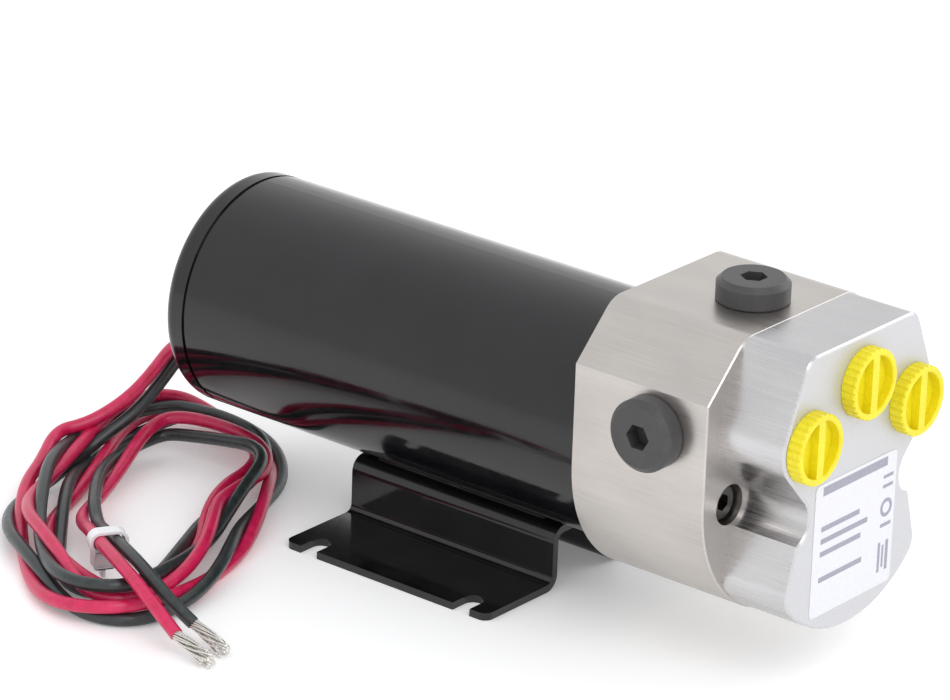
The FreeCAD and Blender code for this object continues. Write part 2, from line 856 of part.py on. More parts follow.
def pump_body():
    """The aluminium block: flat top, two chamfers, upright sides and a round underside."""
    body = new_body("pump_body")
    sketch = new_sketch(body, "block_section", "YZ_Plane")
    rise, chamfer, lift = cell("body_rise"), cell("body_chamfer"), cell("body_lift")
    outline(sketch, [
        (TOP_FLAT, rise), (-TOP_FLAT, rise), (-HALF_WIDTH, rise - chamfer),
        (-HALF_WIDTH, lift, HALF_WIDTH), (0, lift - HALF_WIDTH, HALF_WIDTH), (HALF_WIDTH, lift),
        (HALF_WIDTH, rise - chamfer),
    ])
    length = cell("body_length")
    bar = pad(body, sketch, "block_bar", length)
    block = round_edges(body, bar, "block_shoulders", cell("body_shoulder"),
                        lambda edge, middle: edge.BoundBox.XLength > length.value - 0.01
                        and abs(middle.z - rise.value) < 0.01)
    bevel_edges(body, block, "block_broken_edges", 0.35,
                lambda edge, middle: edge.BoundBox.XLength < 0.01 and middle.x > 0.01)
    bores = new_sketch(body, "shaft_bore", "YZ_Plane")
    ring(bores, cell("seal_diameter") / 2)
    pocket(body, bores, "coupling_bore", cell("seal_start") + cell("seal_length"),
           reversed_way=True)
    bush_bores = new_sketch(body, "bush_bores", "YZ_Plane", length)
    ring(bush_bores, cell("bush_diameter") / 2)
    pocket(body, bush_bores, "drive_bush_bore",
           length - cell("seal_start") - cell("seal_length") + 0.5)
    idler_bore = new_sketch(body, "idler_bore", "YZ_Plane", length)
    ring(idler_bore, cell("bush_diameter") / 2, 0, -GEAR_CENTRES)
    pocket(body, idler_bore, "idler_bush_bore", cell("chamber_depth") + cell("bush_length") + 1.5)
    tip = GEAR_CENTRES / 2 + cell("gear_module") + 0.12
    for name, drop in (("drive", size(0)), ("idler", GEAR_CENTRES)):
        chamber = new_sketch(body, f"{name}_chamber", "YZ_Plane", length)
        ring(chamber, tip, 0, -drop)
        pocket(body, chamber, f"{name}_chamber_cut", cell("chamber_depth"))
    screw_pockets = new_sketch(body, "screw_pockets", "YZ_Plane", length)
    screw_holes = new_sketch(body, "screw_holes", "YZ_Plane", length)
    bolt_holes = new_sketch(body, "long_bolt_holes", "YZ_Plane")
    for side in (1, -1):
        ring(screw_pockets, cell("screw_pocket") / 2, cell("screw_across") * side,
             -cell("screw_drop"))
        ring(screw_holes, cell("screw_size") / 2 + 0.2, cell("screw_across") * side,
             -cell("screw_drop"))
        ring(bolt_holes, cell("bolt_size") / 2, 0, cell("bolt_circle") * side)
    pocket(body, screw_pockets, "screw_pocket_cut", cell("screw_pocket_depth"))
    pocket(body, screw_holes, "screw_hole_cut", length)
    pocket(body, bolt_holes, "long_bolt_hole_cut", 12.0, reversed_way=True)
    valve = new_sketch(body, "valve_bore", "XZ_Plane", HALF_WIDTH)
    ring(valve, cell("spool_diameter") / 2, cell("valve_from_motor"), cell("valve_height"))
    pocket(body, valve, "valve_bore_cut", cell("body_width"))
    for name, offset, way in (("right", HALF_WIDTH, False), ("left", -HALF_WIDTH, True)):
        chamber = new_sketch(body, f"{name}_valve_chamber", "XZ_Plane", offset)
        ring(chamber, cell("plug_shank") / 2, cell("valve_from_motor"), cell("valve_height"))
        pocket(body, chamber, f"{name}_valve_chamber_cut", HALF_WIDTH - cell("seat_start"),
               reversed_way=way)
    top = new_sketch(body, "top_chamber", "XY_Plane", rise)
    ring(top, cell("plug_shank") / 2, cell("top_plug_from_motor"), 0)
    pocket(body, top, "top_chamber_cut", 15.0)
    gallery = new_sketch(body, "top_gallery", "XY_Plane", rise)
    ring(gallery, 2.5, cell("top_plug_from_motor"), 0)
    pocket(body, gallery, "top_gallery_cut", rise - cell("valve_height"))
    galleries(body, length)
    seal_groove = new_sketch(body, "chamber_seal_groove", "YZ_Plane", length)
    for wire_side in (1, -1):
        ring(seal_groove, cell("chamber_seal_radius") + cell("seal_wire") / 2 * wire_side, 0,
             -GEAR_CENTRES / 2)
    pocket(body, seal_groove, "chamber_seal_groove_cut", cell("seal_wire"))
    dowels = new_sketch(body, "dowel_holes", "YZ_Plane", length)
    for side in (1, -1):
        ring(dowels, cell("dowel_size") / 2, cell("dowel_across") * side, -cell("dowel_drop"))
    pocket(body, dowels, "dowel_hole_cut", 8.0)
    heads = new_sketch(body, "housing_screw_pockets", "YZ_Plane")
    shanks = new_sketch(body, "housing_screw_holes", "YZ_Plane")
    for y, z in housing_screw_places():
        ring(heads, cell("screw_head") / 2 + 0.4, y, z)
        ring(shanks, cell("screw_size") / 2 + 0.2, y, z)
    pocket(body, heads, "housing_screw_pocket_cut", 6.0, reversed_way=True)
    pocket(body, shanks, "housing_screw_hole_cut", length, reversed_way=True)
    place(body, JOINT, 0, AXIS)
    keep(body, "pump_body")


def galleries(body, length):
    """The drilled passages from the front face back to the lock valve and the gears."""
    front = new_sketch(body, "front_galleries", "YZ_Plane", length)
    for side in (1, -1):
        ring(front, 2.2, cell("port_across") * side, cell("valve_height"))
    pocket(body, front, "front_gallery_cut", length - cell("valve_from_motor"))
    centre = new_sketch(body, "centre_gallery", "YZ_Plane", length)
    ring(centre, 2.2, 0, cell("top_port_up"))
    pocket(body, centre, "centre_gallery_cut", length - cell("top_plug_from_motor"))


def housing_screw_places():
    """The four screws that hold the port housing, across and above the motor axis."""
    top, low = cell("stud_across_top"), cell("stud_across_low")
    up, down = cell("stud_up"), -cell("stud_down")
    return ((top, up), (-top, up), (low, down), (-low, down))


def socket_screw(name, x, y, z, length, direction):
    """A socket-head screw with the end of its head at x, pointing along direction."""
    head = cell("screw_size")
    way = direction.x
    blank = fuse(f"{name}_blank",
                 rod(f"{name}_head", cell("screw_head") / 2, head, x, y, z, direction),
                 rod(f"{name}_shank", cell("screw_size") / 2, length, x + head * way, y, z,
                     direction))
    socket = DOC.addObject("Part::Prism", f"{name}_socket")
    socket.Polygon = 6
    bind(socket, "Circumradius", cell("screw_key") / math.sqrt(3))
    bind(socket, "Height", head / 2)
    place(socket, x, y, z, towards(direction))
    return cut(name, blank, socket)


def housing_fasteners():
    """Four screws from behind and two dowels that hold and place the port housing."""
    length = cell("body_length") - 6.0 + 10.0
    screws = [socket_screw(f"housing_screw_{number}", JOINT + 1.0, y, AXIS + z, length, ALONG_X)
              for number, (y, z) in enumerate(housing_screw_places(), start=1)]
    keep(group("housing_screws", *screws), "housing_screws")
    dowels = [rod(f"dowel_{number}", cell("dowel_size") / 2, 14.0, BODY_FRONT - 7.5,
                  cell("dowel_across") * side, AXIS - cell("dowel_drop"))
              for number, side in enumerate((1, -1), start=1)]
    keep(group("dowel_pins", *dowels), "dowel_pins")


def body_screws():
    """Two socket-head screws from the body's front face into the motor's front plate."""
    head_x = BODY_FRONT - cell("screw_pocket_depth")
    tip_x = JOINT - 8.0
    pieces = []
    for side, name in ((1, "left"), (-1, "right")):
        y = cell("screw_across") * side
        pieces.append(socket_screw(f"{name}_body_screw", head_x + 5.0, y, SCREW_Z,
                                   head_x - tip_x, -ALONG_X))
    keep(group("body_screws", *pieces), "body_screws")


def screw_plug(name, x, y, z, direction):
    """A hollow-hexagon plug: a thick flat head and a short threaded shank."""
    proud, reach = cell("plug_proud"), cell("plug_reach")
    head, shank, edge = cell("plug_diameter") / 2, cell("plug_shank") / 2, cell("plug_edge")
    groove, floor = cell("seal_seat"), shank - cell("seal_wire")
    half = cell("seal_wire") / 2 + 0.1
    profile = [(-reach, 0), (-reach, shank - 0.8), (-reach + 0.8, shank), (-groove - half, shank),
               (-groove - half, floor), (-groove + half, floor), (-groove + half, shank),
               (0, shank), (0, head - 0.3), (0.3, head), (proud - edge, head),
               (proud, head - edge), (proud, 0)]
    body = turned(name, profile, x, y, z, direction)
    sketch = new_sketch(body, f"{name}_hexagon", "YZ_Plane", proud)
    hexagon(sketch, cell("plug_hex"))
    pocket(body, sketch, f"{name}_socket", cell("plug_hex_depth"))
    keep(body, name)


def plugs():
    screw_plug("right_valve_plug", VALVE_X, -HALF_WIDTH, VALVE_Z, -ALONG_Y)
    screw_plug("left_valve_plug", VALVE_X, HALF_WIDTH, VALVE_Z, ALONG_Y)
    screw_plug("top_plug", TOP_PLUG_X, 0, AXIS + cell("body_rise"), ALONG_Z)


# ---------------------------------------------------------------- lock valve

def lock_valve():
    """The shuttle spool, and on each side a seat, a check poppet and its spring."""
    gap = GAP
    radius = cell("spool_diameter") / 2 - gap
    half = cell("spool_length") / 2
    pin = cell("spool_pin_diameter") / 2
    reach = cell("spool_pin_reach")
    neck = radius - 2.2
    profile = [(-reach, 0), (-reach, pin), (-half, pin), (-half, radius), (-half + 4, radius),
               (-half + 5, neck), (-2, neck), (-1, radius), (1, radius), (2, neck),
               (half - 5, neck), (half - 4, radius), (half, radius), (half, pin), (reach, pin),
               (reach, 0)]
    keep(turned("shuttle_spool", profile, VALVE_X, 0, VALVE_Z, ALONG_Y), "shuttle_spool")
    seats = []
    chamber = cell("plug_shank") / 2
    seat_end = cell("seat_start") + cell("seat_length")
    for side, name in ((-1, "right"), (1, "left")):
        way = ALONG_Y * side
        bore = cell("seat_bore") / 2
        seats.append(turned(f"{name}_seat", [(0, bore), (0, chamber), (cell("seat_length"), chamber),
                                             (cell("seat_length"), bore + 1.2),
                                             (cell("seat_length") - 1.2, bore)],
                            VALVE_X, cell("seat_start") * side, VALVE_Z, way))
        body_radius = cell("poppet_diameter") / 2
        start = seat_end - 1.2 - 0.4 + gap
        length = cell("poppet_length")
        spring_pocket = cell("poppet_pocket") / 2
        floor = length - cell("poppet_pocket_depth")
        poppet = [(0, 0), (0, bore - 0.4), (body_radius - bore + 0.4, body_radius),
                  (length, body_radius), (length, spring_pocket), (floor, spring_pocket),
                  (floor, 0)]
        keep(turned(f"{name}_check_poppet", poppet, VALVE_X, start * side, VALVE_Z, way),
             f"{name}_check_poppet")
        spring_start = start + floor
        spring_end = HALF_WIDTH - cell("plug_reach")
        keep(spring(f"{name}_check_coil", 2.8, cell("valve_wire"), spring_end - spring_start, 5,
                    VALVE_X, spring_start * side, VALVE_Z, way), f"{name}_check_spring")
    keep(group("valve_seats", *seats), "valve_seats")


# ---------------------------------------------------------------- gear pump

def tooth_flank(radius, base, backlash_angle, half_tooth):
    """The angle of the flank from the tooth's middle at a radius, on an involute of the base."""
    grip = math.acos(min(base / radius, 1.0))
    return half_tooth - (math.tan(grip) - grip) - backlash_angle


def gear_face(phase):
    """The outline of a spur gear in the YZ plane, its first tooth at the phase angle."""
    teeth = int(DRIVING["gear_teeth"])
    module = DRIVING["gear_module"]
    pitch = module * teeth / 2
    pressure = math.radians(DRIVING["pressure_degrees"])
    base = pitch * math.cos(pressure)
    tip, bottom = pitch + module, pitch - 1.25 * module
    spread = math.tan(pressure) - pressure
    half_tooth = math.pi / (2 * teeth) + spread
    slack = DRIVING["gear_backlash"] / (4 * pitch)
    radii = [base + (tip - base) * step / 5 for step in range(6)]
    edges = []
    for number in range(teeth):
        middle = phase + 2 * math.pi * number / teeth
        sides = []
        for side in (-1, 1):
            line = [polar(radius, middle + side * tooth_flank(radius, base, slack, half_tooth))
                    for radius in radii]
            foot = polar(bottom, middle + side * tooth_flank(base, base, slack, half_tooth))
            sides.append((foot, line))
        rising, falling = sides
        up = Part.BSplineCurve()
        up.interpolate(rising[1])
        down = Part.BSplineCurve()
        down.interpolate(list(reversed(falling[1])))
        edges.append(Part.LineSegment(rising[0], rising[1][0]).toShape())
        edges.append(up.toShape())
        edges.append(Part.Arc(rising[1][-1], polar(tip, middle), falling[1][-1]).toShape())
        edges.append(down.toShape())
        edges.append(Part.LineSegment(falling[1][0], falling[0]).toShape())
        following = middle + 2 * math.pi / teeth
        valley = middle + math.pi / teeth
        end = polar(bottom, following - tooth_flank(base, base, slack, half_tooth))
        edges.append(Part.Arc(falling[0], polar(bottom, valley), end).toShape())
    return Part.Face(Part.Wire(edges))


def polar(radius, angle):
    return Vector(0, radius * math.cos(angle), radius * math.sin(angle))


def gear_and_shaft(name, phase, drop, shaft_start, shaft_end):
    """A spur gear made in one piece with its shaft."""
    width = DRIVING["gear_width"]
    start = CHAMBER_START.value + (DRIVING["chamber_depth"] - width) / 2
    gear = gear_face(phase).extrude(Vector(width, 0, 0))
    gear.translate(Vector(start, 0, 0))
    shaft = Part.makeCylinder(DRIVING["pump_shaft"] / 2, shaft_end - shaft_start,
                              Vector(shaft_start, 0, 0), ALONG_X)
    item = DOC.addObject("Part::Feature", name)
    item.Shape = gear.fuse(shaft).removeSplitter()
    place(item, 0, 0, AXIS - drop)
    keep(item, name)


def gears():
    half_pitch = math.pi / int(DRIVING["gear_teeth"])
    up = math.pi / 2
    joint = JOINT.value
    front = BODY_FRONT.value
    shaft_start = joint + DRIVING["motor_shaft_reach"] + 0.2
    idler_start = front - DRIVING["chamber_depth"] - DRIVING["bush_length"]
    shaft_end = front + DRIVING["bush_length"] + 0.5
    gear_and_shaft("drive_gear", -up, size(0), shaft_start, shaft_end)
    gear_and_shaft("idler_gear", up + half_pitch, GEAR_CENTRES, idler_start, shaft_end)


def bushes():
    """Four plain bushes: two behind the gears and two in the port housing."""
    pieces = []
    length = cell("bush_length")
    for name, x in (("rear", CHAMBER_START - length), ("front", BODY_FRONT)):
        for part, drop in (("drive", size(0)), ("idler", GEAR_CENTRES)):
            outside = rod(f"{name}_{part}_bush_rod", cell("bush_diameter") / 2, length, x, 0,
                          AXIS - drop)
            inside = rod(f"{name}_{part}_bush_bore", cell("pump_shaft") / 2 + GAP, length, x, 0,
                         AXIS - drop)
            pieces.append(cut(f"{name}_{part}_bush", outside, inside))
    keep(group("shaft_bushes", *pieces), "shaft_bushes")


def coupling_and_seal():
    """The sleeve that joins the motor shaft to the drive gear, and the lip seal in front of it."""
    start = JOINT + cell("coupling_start")
    sleeve = cut("coupling_sleeve",
                 rod("coupling_rod", cell("coupling_diameter") / 2, cell("coupling_length"),
                     start, 0, AXIS),
                 rod("coupling_bore", cell("pump_shaft") / 2, cell("coupling_length"), start, 0,
                     AXIS))
    keep(sleeve, "shaft_coupling")
    seal_x = JOINT + cell("seal_start")
    outside, inside = cell("seal_diameter") / 2, cell("pump_shaft") / 2 + GAP
    length = cell("seal_length")
    profile = [(0, inside + 2.6), (0, outside), (length, outside), (length, inside),
               (length - 1.4, inside), (length - 2.2, inside + 1.2), (1.2, inside + 2.6)]
    keep(turned("shaft_seal", profile, seal_x, 0, AXIS), "shaft_seal")


# ---------------------------------------------------------------- port housing

def housing_outline():
    """The housing's outline, anticlockwise from its top left corner as seen from the ports.

    Each ear is rounded about its port, a scallop clears each screw pocket, and the lower lobe
    follows the pump body's round underside.
    """
    rise = cell("body_rise")
    corner = TOP_FLAT
    ear = Vector(DRIVING["port_across"], DRIVING["port_up"], 0)
    scallop = Vector(DRIVING["screw_across"], -DRIVING["screw_drop"], 0)
    line = scallop - ear
    turn = math.asin((DRIVING["ear_round"] + DRIVING["scallop_round"]) / line.Length)
    angle = math.atan2(line.y, line.x) - turn
    lower_way = Vector(math.cos(angle), math.sin(angle), 0)
    outward = Vector(-lower_way.y, lower_way.x, 0)
    lower_touch = ear + outward * DRIVING["ear_round"]
    scallop_touch = scallop - outward * DRIVING["scallop_round"]
    top = Vector(corner.value, rise.value, 0)
    away = ear - top
    half = math.asin(DRIVING["ear_round"] / away.Length)
    angle = math.atan2(away.y, away.x) + half
    side_way = Vector(math.cos(angle), math.sin(angle), 0)
    spread = lower_way.x * side_way.y - lower_way.y * side_way.x
    gap = lower_touch - top
    reach = (lower_way.x * gap.y - lower_way.y * gap.x) / spread
    peak = top + side_way * reach
    return peak, scallop_touch


def port_housing():
    """The machined front housing with three ports and the front bushes' bores."""
    body = new_body("port_housing")
    sketch = new_sketch(body, "housing_section", "YZ_Plane")
    peak, touch = housing_outline()
    rise = cell("body_rise")
    lobe = cell("lobe_half_width")
    lobe_z = -root(cell("lobe_radius") * cell("lobe_radius") - lobe * lobe)
    scallop_y, scallop_z = cell("screw_across"), -cell("screw_drop")
    low_y = scallop_y - 2.0
    low_z = scallop_z - root(cell("scallop_round") * cell("scallop_round") - size(4.0))
    right = [(lobe, lobe_z), (low_y, low_z), (touch.x, touch.y), (peak.x, peak.y),
             (TOP_FLAT, rise)]
    left = [(-size(y), z) for y, z in reversed(right)]
    left[-1] = (left[-1][0], left[-1][1], cell("lobe_radius"))
    bottom = [(0, -cell("lobe_radius"), cell("lobe_radius"))]
    outline(sketch, right + left + bottom)
    length = cell("housing_length")
    bar = pad(body, sketch, "housing_bar", length)

    def upright(y, z):
        def test(edge, middle):
            along = edge.BoundBox.XLength > length.value - 0.01
            return along and abs(abs(middle.y) - y) < 0.05 and abs(middle.z - z) < 0.05
        return test

    ears = round_edges(body, bar, "ear_rounds", cell("ear_round"), upright(peak.x, peak.y))
    tops = round_edges(body, ears, "top_corners", cell("housing_corner"),
                       upright(TOP_FLAT.value, rise.value))
    round_edges(body, tops, "lobe_corners", cell("lobe_corner"),
                upright(lobe.value, lobe_z.value))
    scallops = new_sketch(body, "scallops", "YZ_Plane", length)
    for side in (1, -1):
        ring(scallops, cell("scallop_round"), scallop_y * side, scallop_z)
    cut_scallops = pocket(body, scallops, "scallop_cut", length)
    bevel_edges(body, cut_scallops, "housing_broken_edges", cell("broken_edge"),
                lambda edge, middle: edge.BoundBox.XLength < 0.01
                and abs(middle.x - length.value) < 0.01)
    ports = new_sketch(body, "ports", "YZ_Plane", length)
    for y, z in port_places():
        ring(ports, cell("port_bore") / 2, y, z)
    pocket(body, ports, "port_cut", cell("port_depth"))
    passages = new_sketch(body, "port_passages", "YZ_Plane", length)
    for y, z in port_places():
        ring(passages, 2.2, y, z if y == 0 else cell("valve_height"))
    pocket(body, passages, "port_passage_cut", length)
    dowels = new_sketch(body, "housing_dowel_holes", "YZ_Plane")
    for side in (1, -1):
        ring(dowels, cell("dowel_size") / 2, cell("dowel_across") * side, -cell("dowel_drop"))
    pocket(body, dowels, "housing_dowel_cut", 8.0, reversed_way=True)
    threads = new_sketch(body, "housing_screw_threads", "YZ_Plane")
    for y, z in housing_screw_places():
        ring(threads, cell("screw_size") / 2, y, z)
    pocket(body, threads, "housing_thread_cut", 12.0, reversed_way=True)
    bores = new_sketch(body, "front_bush_bores", "YZ_Plane")
    ring(bores, cell("bush_diameter") / 2)
    ring(bores, cell("bush_diameter") / 2, 0, -GEAR_CENTRES)
    pocket(body, bores, "front_bush_bore_cut", cell("bush_length") + 1.0, reversed_way=True)
    place(body, BODY_FRONT, 0, AXIS)
    keep(body, "port_housing")


def port_places():
    """The ports' centres across and above the motor axis: left, top and right."""
    return ((cell("port_across"), cell("port_up")), (0, cell("top_port_up")),
            (-cell("port_across"), cell("port_up")))


def port_cap(name, y, z):
    """A plastic shipping cap: a ridged rim, a recessed face with a grip bar, and a hollow spigot."""
    proud, reach = cell("cap_proud"), cell("cap_reach")
    outer, bore = cell("cap_diameter") / 2, cell("port_bore") / 2 - GAP
    rim, floor = outer - cell("cap_rim"), proud - cell("cap_recess")
    profile = [(-reach, bore - 1.6), (-reach, bore - 0.5), (-reach + 0.8, bore), (0, bore),
               (0, outer - 0.2), (0.2, outer), (proud - 0.4, outer), (proud, outer - 0.4),
               (proud, rim + 0.3), (proud - 0.3, rim), (floor, rim), (floor, 0),
               (floor - 1.4, 0), (floor - 1.4, bore - 1.6)]
    body = turned(name, profile, HOUSING_FRONT, y, AXIS + z)
    bar = new_sketch(body, f"{name}_bar", "YZ_Plane", floor - 0.2)
    half_long = rim + 0.2
    half_wide = cell("cap_bar") / 2
    outline(bar, [(-half_wide, -half_long), (half_wide, -half_long), (half_wide, half_long),
                  (-half_wide, half_long)])
    body.Tip = pad(body, bar, f"{name}_grip", cell("cap_recess"))
    notch = new_sketch(body, f"{name}_notch", "YZ_Plane", proud)
    count = 30
    for step in range(count):
        angle = 2 * math.pi * step / count
        ring(notch, 0.45, (outer + 0.12) * math.cos(angle), (outer + 0.12) * math.sin(angle))
    pocket(body, notch, f"{name}_ridges", proud)
    keep(body, name)


def port_caps():
    names = ("left_port_cap", "top_port_cap", "right_port_cap")
    for name, (y, z) in zip(names, port_places()):
        port_cap(name, y, z)


def o_ring(name, radius, x, y, z, way):
    hoop = DOC.addObject("Part::Torus", name)
    bind(hoop, "Radius1", radius)
    bind(hoop, "Radius2", cell("seal_wire") / 2 - 0.05)
    return place(hoop, x, y, z, towards(way))


def o_rings():
    """One O-ring in each plug's groove, and one round both gears in the body's front face."""
    radius = (cell("plug_shank") - cell("seal_wire")) / 2
    depth = cell("seal_seat")
    keep(group("plug_seals",
               o_ring("right_plug_seal", radius, VALVE_X, depth - HALF_WIDTH, VALVE_Z, ALONG_Y),
               o_ring("left_plug_seal", radius, VALVE_X, HALF_WIDTH - depth, VALVE_Z, ALONG_Y),
               o_ring("top_plug_seal", radius, TOP_PLUG_X, 0, AXIS + cell("body_rise") - depth,
                      ALONG_Z)), "plug_seals")
    keep(o_ring("gear_chamber_seal", cell("chamber_seal_radius"),
                BODY_FRONT - cell("seal_wire") / 2, 0, AXIS - GEAR_CENTRES / 2, ALONG_X),
         "gear_chamber_seal")


def label_plate():
    """The blank foil label on the lower half of the housing's face."""
    body = new_body("label_plate")
    sketch = new_sketch(body, "label_outline", "YZ_Plane")
    half = cell("label_width") / 2
    top = cell("label_top")
    bottom = top - cell("label_height")
    outline(sketch, [(-half, bottom), (half, bottom), (half, top), (-half, top)])
    sheet = pad(body, sketch, "label_sheet", cell("label_thickness"))
    round_edges(body, sheet, "label_corners", cell("label_corner"),
                lambda edge, middle: edge.BoundBox.XLength > cell("label_thickness").value - 0.01)
    place(body, HOUSING_FRONT, 0, AXIS)
    keep(body, "label_plate")


# ---------------------------------------------------------------- leads

# The leads' routes, from the rear cover outwards. They are laid by hand.
RED_RUN = [(-102.5, -18.6, 36.8), (-106.8, -18.6, 36.2), (-111.0, -18.8, 32.8),
           (-114.6, -19.4, 27.6), (-117.8, -20.8, 22.6), (-120.8, -23.6, 18.0),
           (-124.0, -28.4, 14.0), (-127.2, -34.4, 11.2), (-129.4, -41.0, 9.2)]
BLACK_RUN = [(-102.5, -16.2, 33.4), (-106.6, -16.2, 32.8), (-110.4, -16.3, 29.6),
             (-113.4, -16.6, 25.2), (-116.2, -17.4, 20.8), (-118.4, -19.8, 16.4),
             (-120.4, -24.2, 12.2), (-122.6, -30.4, 8.8), (-124.6, -37.6, 6.8)]
RED_TAIL = [(-89.5, -75.4, 8.0), (-81.5, -81.6, 9.8), (-73.0, -87.6, 11.8),
            (-64.0, -93.2, 13.0), (-55.0, -98.0, 13.4), (-46.5, -101.8, 12.8),
            (-38.5, -104.6, 10.4), (-28.5, -106.4, 5.5)]
BLACK_TAIL = [(-85.5, -73.6, 8.0), (-77.5, -79.6, 9.8), (-69.0, -85.2, 11.8),
              (-60.5, -90.2, 13.2), (-51.5, -94.6, 13.4), (-43.5, -98.2, 12.6),
              (-36.6, -99.8, 9.8), (-29.8, -98.8, 5.6)]


def smooth_path(points):
    """Straight runs joined by tangent arcs, each as large as its two runs allow."""
    spots = [Vector(*point) for point in points]
    edges = []
    radii = []
    last = spots[0]
    for before, corner, after in zip(spots, spots[1:], spots[2:]):
        back, ahead = before - corner, after - corner
        shorter = min(back.Length, ahead.Length)
        back.normalize()
        ahead.normalize()
        turn = math.pi - back.getAngle(ahead)
        trim = 0.45 * shorter
        radii.append(trim / math.tan(turn / 2))
        start, end = corner + back * trim, corner + ahead * trim
        centre_way = back + ahead
        centre_way.normalize()
        depth = radii[-1] * (1 / math.cos(turn / 2) - 1)
        edges.append(Part.LineSegment(last, start).toShape())
        edges.append(Part.Arc(start, corner + centre_way * depth, end).toShape())
        last = end
    edges.append(Part.LineSegment(last, spots[-1]).toShape())
    return Part.Wire(edges), radii


def lead_tube(label, points):
    """A lead's tube along its route, with its volume proved against its length."""
    radius = DRIVING["lead_diameter"] / 2
    path, radii = smooth_path(points)
    start = Vector(*points[0])
    way = Vector(*points[1]) - start
    profile = Part.Wire(Part.makeCircle(radius, start, way))
    tube = path.makePipeShell([profile], True, False)
    expected = math.pi * radius * radius * path.Length
    print(f"{label}: length {path.Length:.1f}, radii {[round(value, 1) for value in radii]}, "
          f"volume ratio {tube.Volume / expected:.4f}")
    item = DOC.addObject("Part::Feature", label)
    item.Shape = tube
    keep(item, label)


def lead_coil():
    """The outer shape of the loose coil that both leads lie in."""
    rings = []
    for name, inset in (("outer", size(0)), ("inner", cell("coil_band"))):
        loop = DOC.addObject("Part::Ellipse", f"coil_{name}_loop")
        bind(loop, "MajorRadius", cell("coil_long") / 2 - inset)
        bind(loop, "MinorRadius", cell("coil_short") / 2 - inset * 0.72)
        place(loop, cell("coil_centre_x"), cell("coil_centre_y"), cell("coil_floor"),
              FreeCAD.Rotation(ALONG_Z, DRIVING["coil_turn_degrees"]))
        block = DOC.addObject("Part::Extrusion", f"coil_{name}_block")
        block.Base = loop
        block.DirMode = "Custom"
        block.Dir = ALONG_Z
        block.Solid = True
        bind(block, "LengthFwd", cell("coil_height") - cell("coil_floor"))
        rings.append(block)
    keep(cut("lead_coil", rings[0], rings[1]), "lead_coil")


def strand_end(label, points):
    """The tinned strands at the end of a lead."""
    last = Vector(*points[-1])
    tip = Vector(last.x + cell("strand_reach").value, last.y, cell("strand_tip").value)
    item = DOC.addObject("Part::Feature", label)
    item.Shape = Part.makeCone(1.0, 1.5, (tip - last).Length, last, tip - last)
    keep(item, label)


def cable_tie():
    """The nylon tie round the two tails: a flat loop with a square head."""
    corners = [Vector(*spot) for spot in RED_TAIL[2:4] + BLACK_TAIL[2:4]]
    middle = (corners[0] + corners[1] + corners[2] + corners[3]) * 0.25
    way = corners[1] - corners[0]
    way.z = 0
    way.normalize()
    across = Vector(-way.y, way.x, 0)
    width, thick = DRIVING["tie_width"], DRIVING["tie_thickness"]
    loop_width, loop_height = DRIVING["tie_loop_width"], DRIVING["tie_loop_height"]
    turn = FreeCAD.Rotation(way, across, ALONG_Z, "XYZ")
    outer = Part.makeBox(width, loop_width, loop_height,
                         Vector(-width / 2, -loop_width / 2, -loop_height / 2))
    inner = Part.makeBox(width, loop_width - thick * 2, loop_height - thick * 2,
                         Vector(-width / 2, thick - loop_width / 2, thick - loop_height / 2))
    head = Part.makeBox(width + 1.2, 4.0, 3.0, Vector(-width / 2 - 0.6, -2.0, loop_height / 2))
    item = DOC.addObject("Part::Feature", "cable_tie")
    item.Shape = outer.cut(inner).fuse(head)
    item.Placement = FreeCAD.Placement(middle, turn)
    keep(item, "cable_tie")


def leads():
    lead_tube("red_lead_run", RED_RUN)
    lead_tube("black_lead_run", BLACK_RUN)
    lead_coil()
    lead_tube("red_lead_tail", RED_TAIL)
    lead_tube("black_lead_tail", BLACK_TAIL)
    strand_end("red_strands", RED_TAIL)
    strand_end("black_strands", BLACK_TAIL)
    cable_tie()


# ---------------------------------------------------------------- build and write

def build():
    motor_can()
    rear_end_cap()
    lead_grommet()
    front_end_bell()
    bearings()
    field_magnets()
    long_bolts()
    motor_shaft()
    armature_core()
    armature_windings()
    commutator()
    brush_gear()
    mounting_bracket()
    bracket_welds()
    pump_body()
    body_screws()
    plugs()
    o_rings()
    housing_fasteners()
    lock_valve()
    gears()
    bushes()
    coupling_and_seal()
    port_housing()
    port_caps()
    label_plate()
    leads()


def check_and_write():
    DOC.recompute()
    for item in DOC.Objects:
        if "Invalid" in item.State or "Error" in item.State:
            raise RuntimeError(f"{item.Name} did not build: {item.State}")
    for item in NODES:
        if item.Shape.isNull() or not item.Shape.isValid() or not item.Shape.Solids:
            raise RuntimeError(f"{item.Label} has no valid solid")
    os.makedirs("parts", exist_ok=True)
    for item in NODES:
        item.Shape.exportStep(f"parts/{item.Label}.step")
    print(f"{len(NODES)} nodes written")


build()
check_and_write()
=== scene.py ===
"""The looks of the hydraulic power unit, built over its CAD frame. Lengths are in metres."""
import math
import random
import bmesh
import bpy
import numpy as np
from mathutils import Matrix, Vector


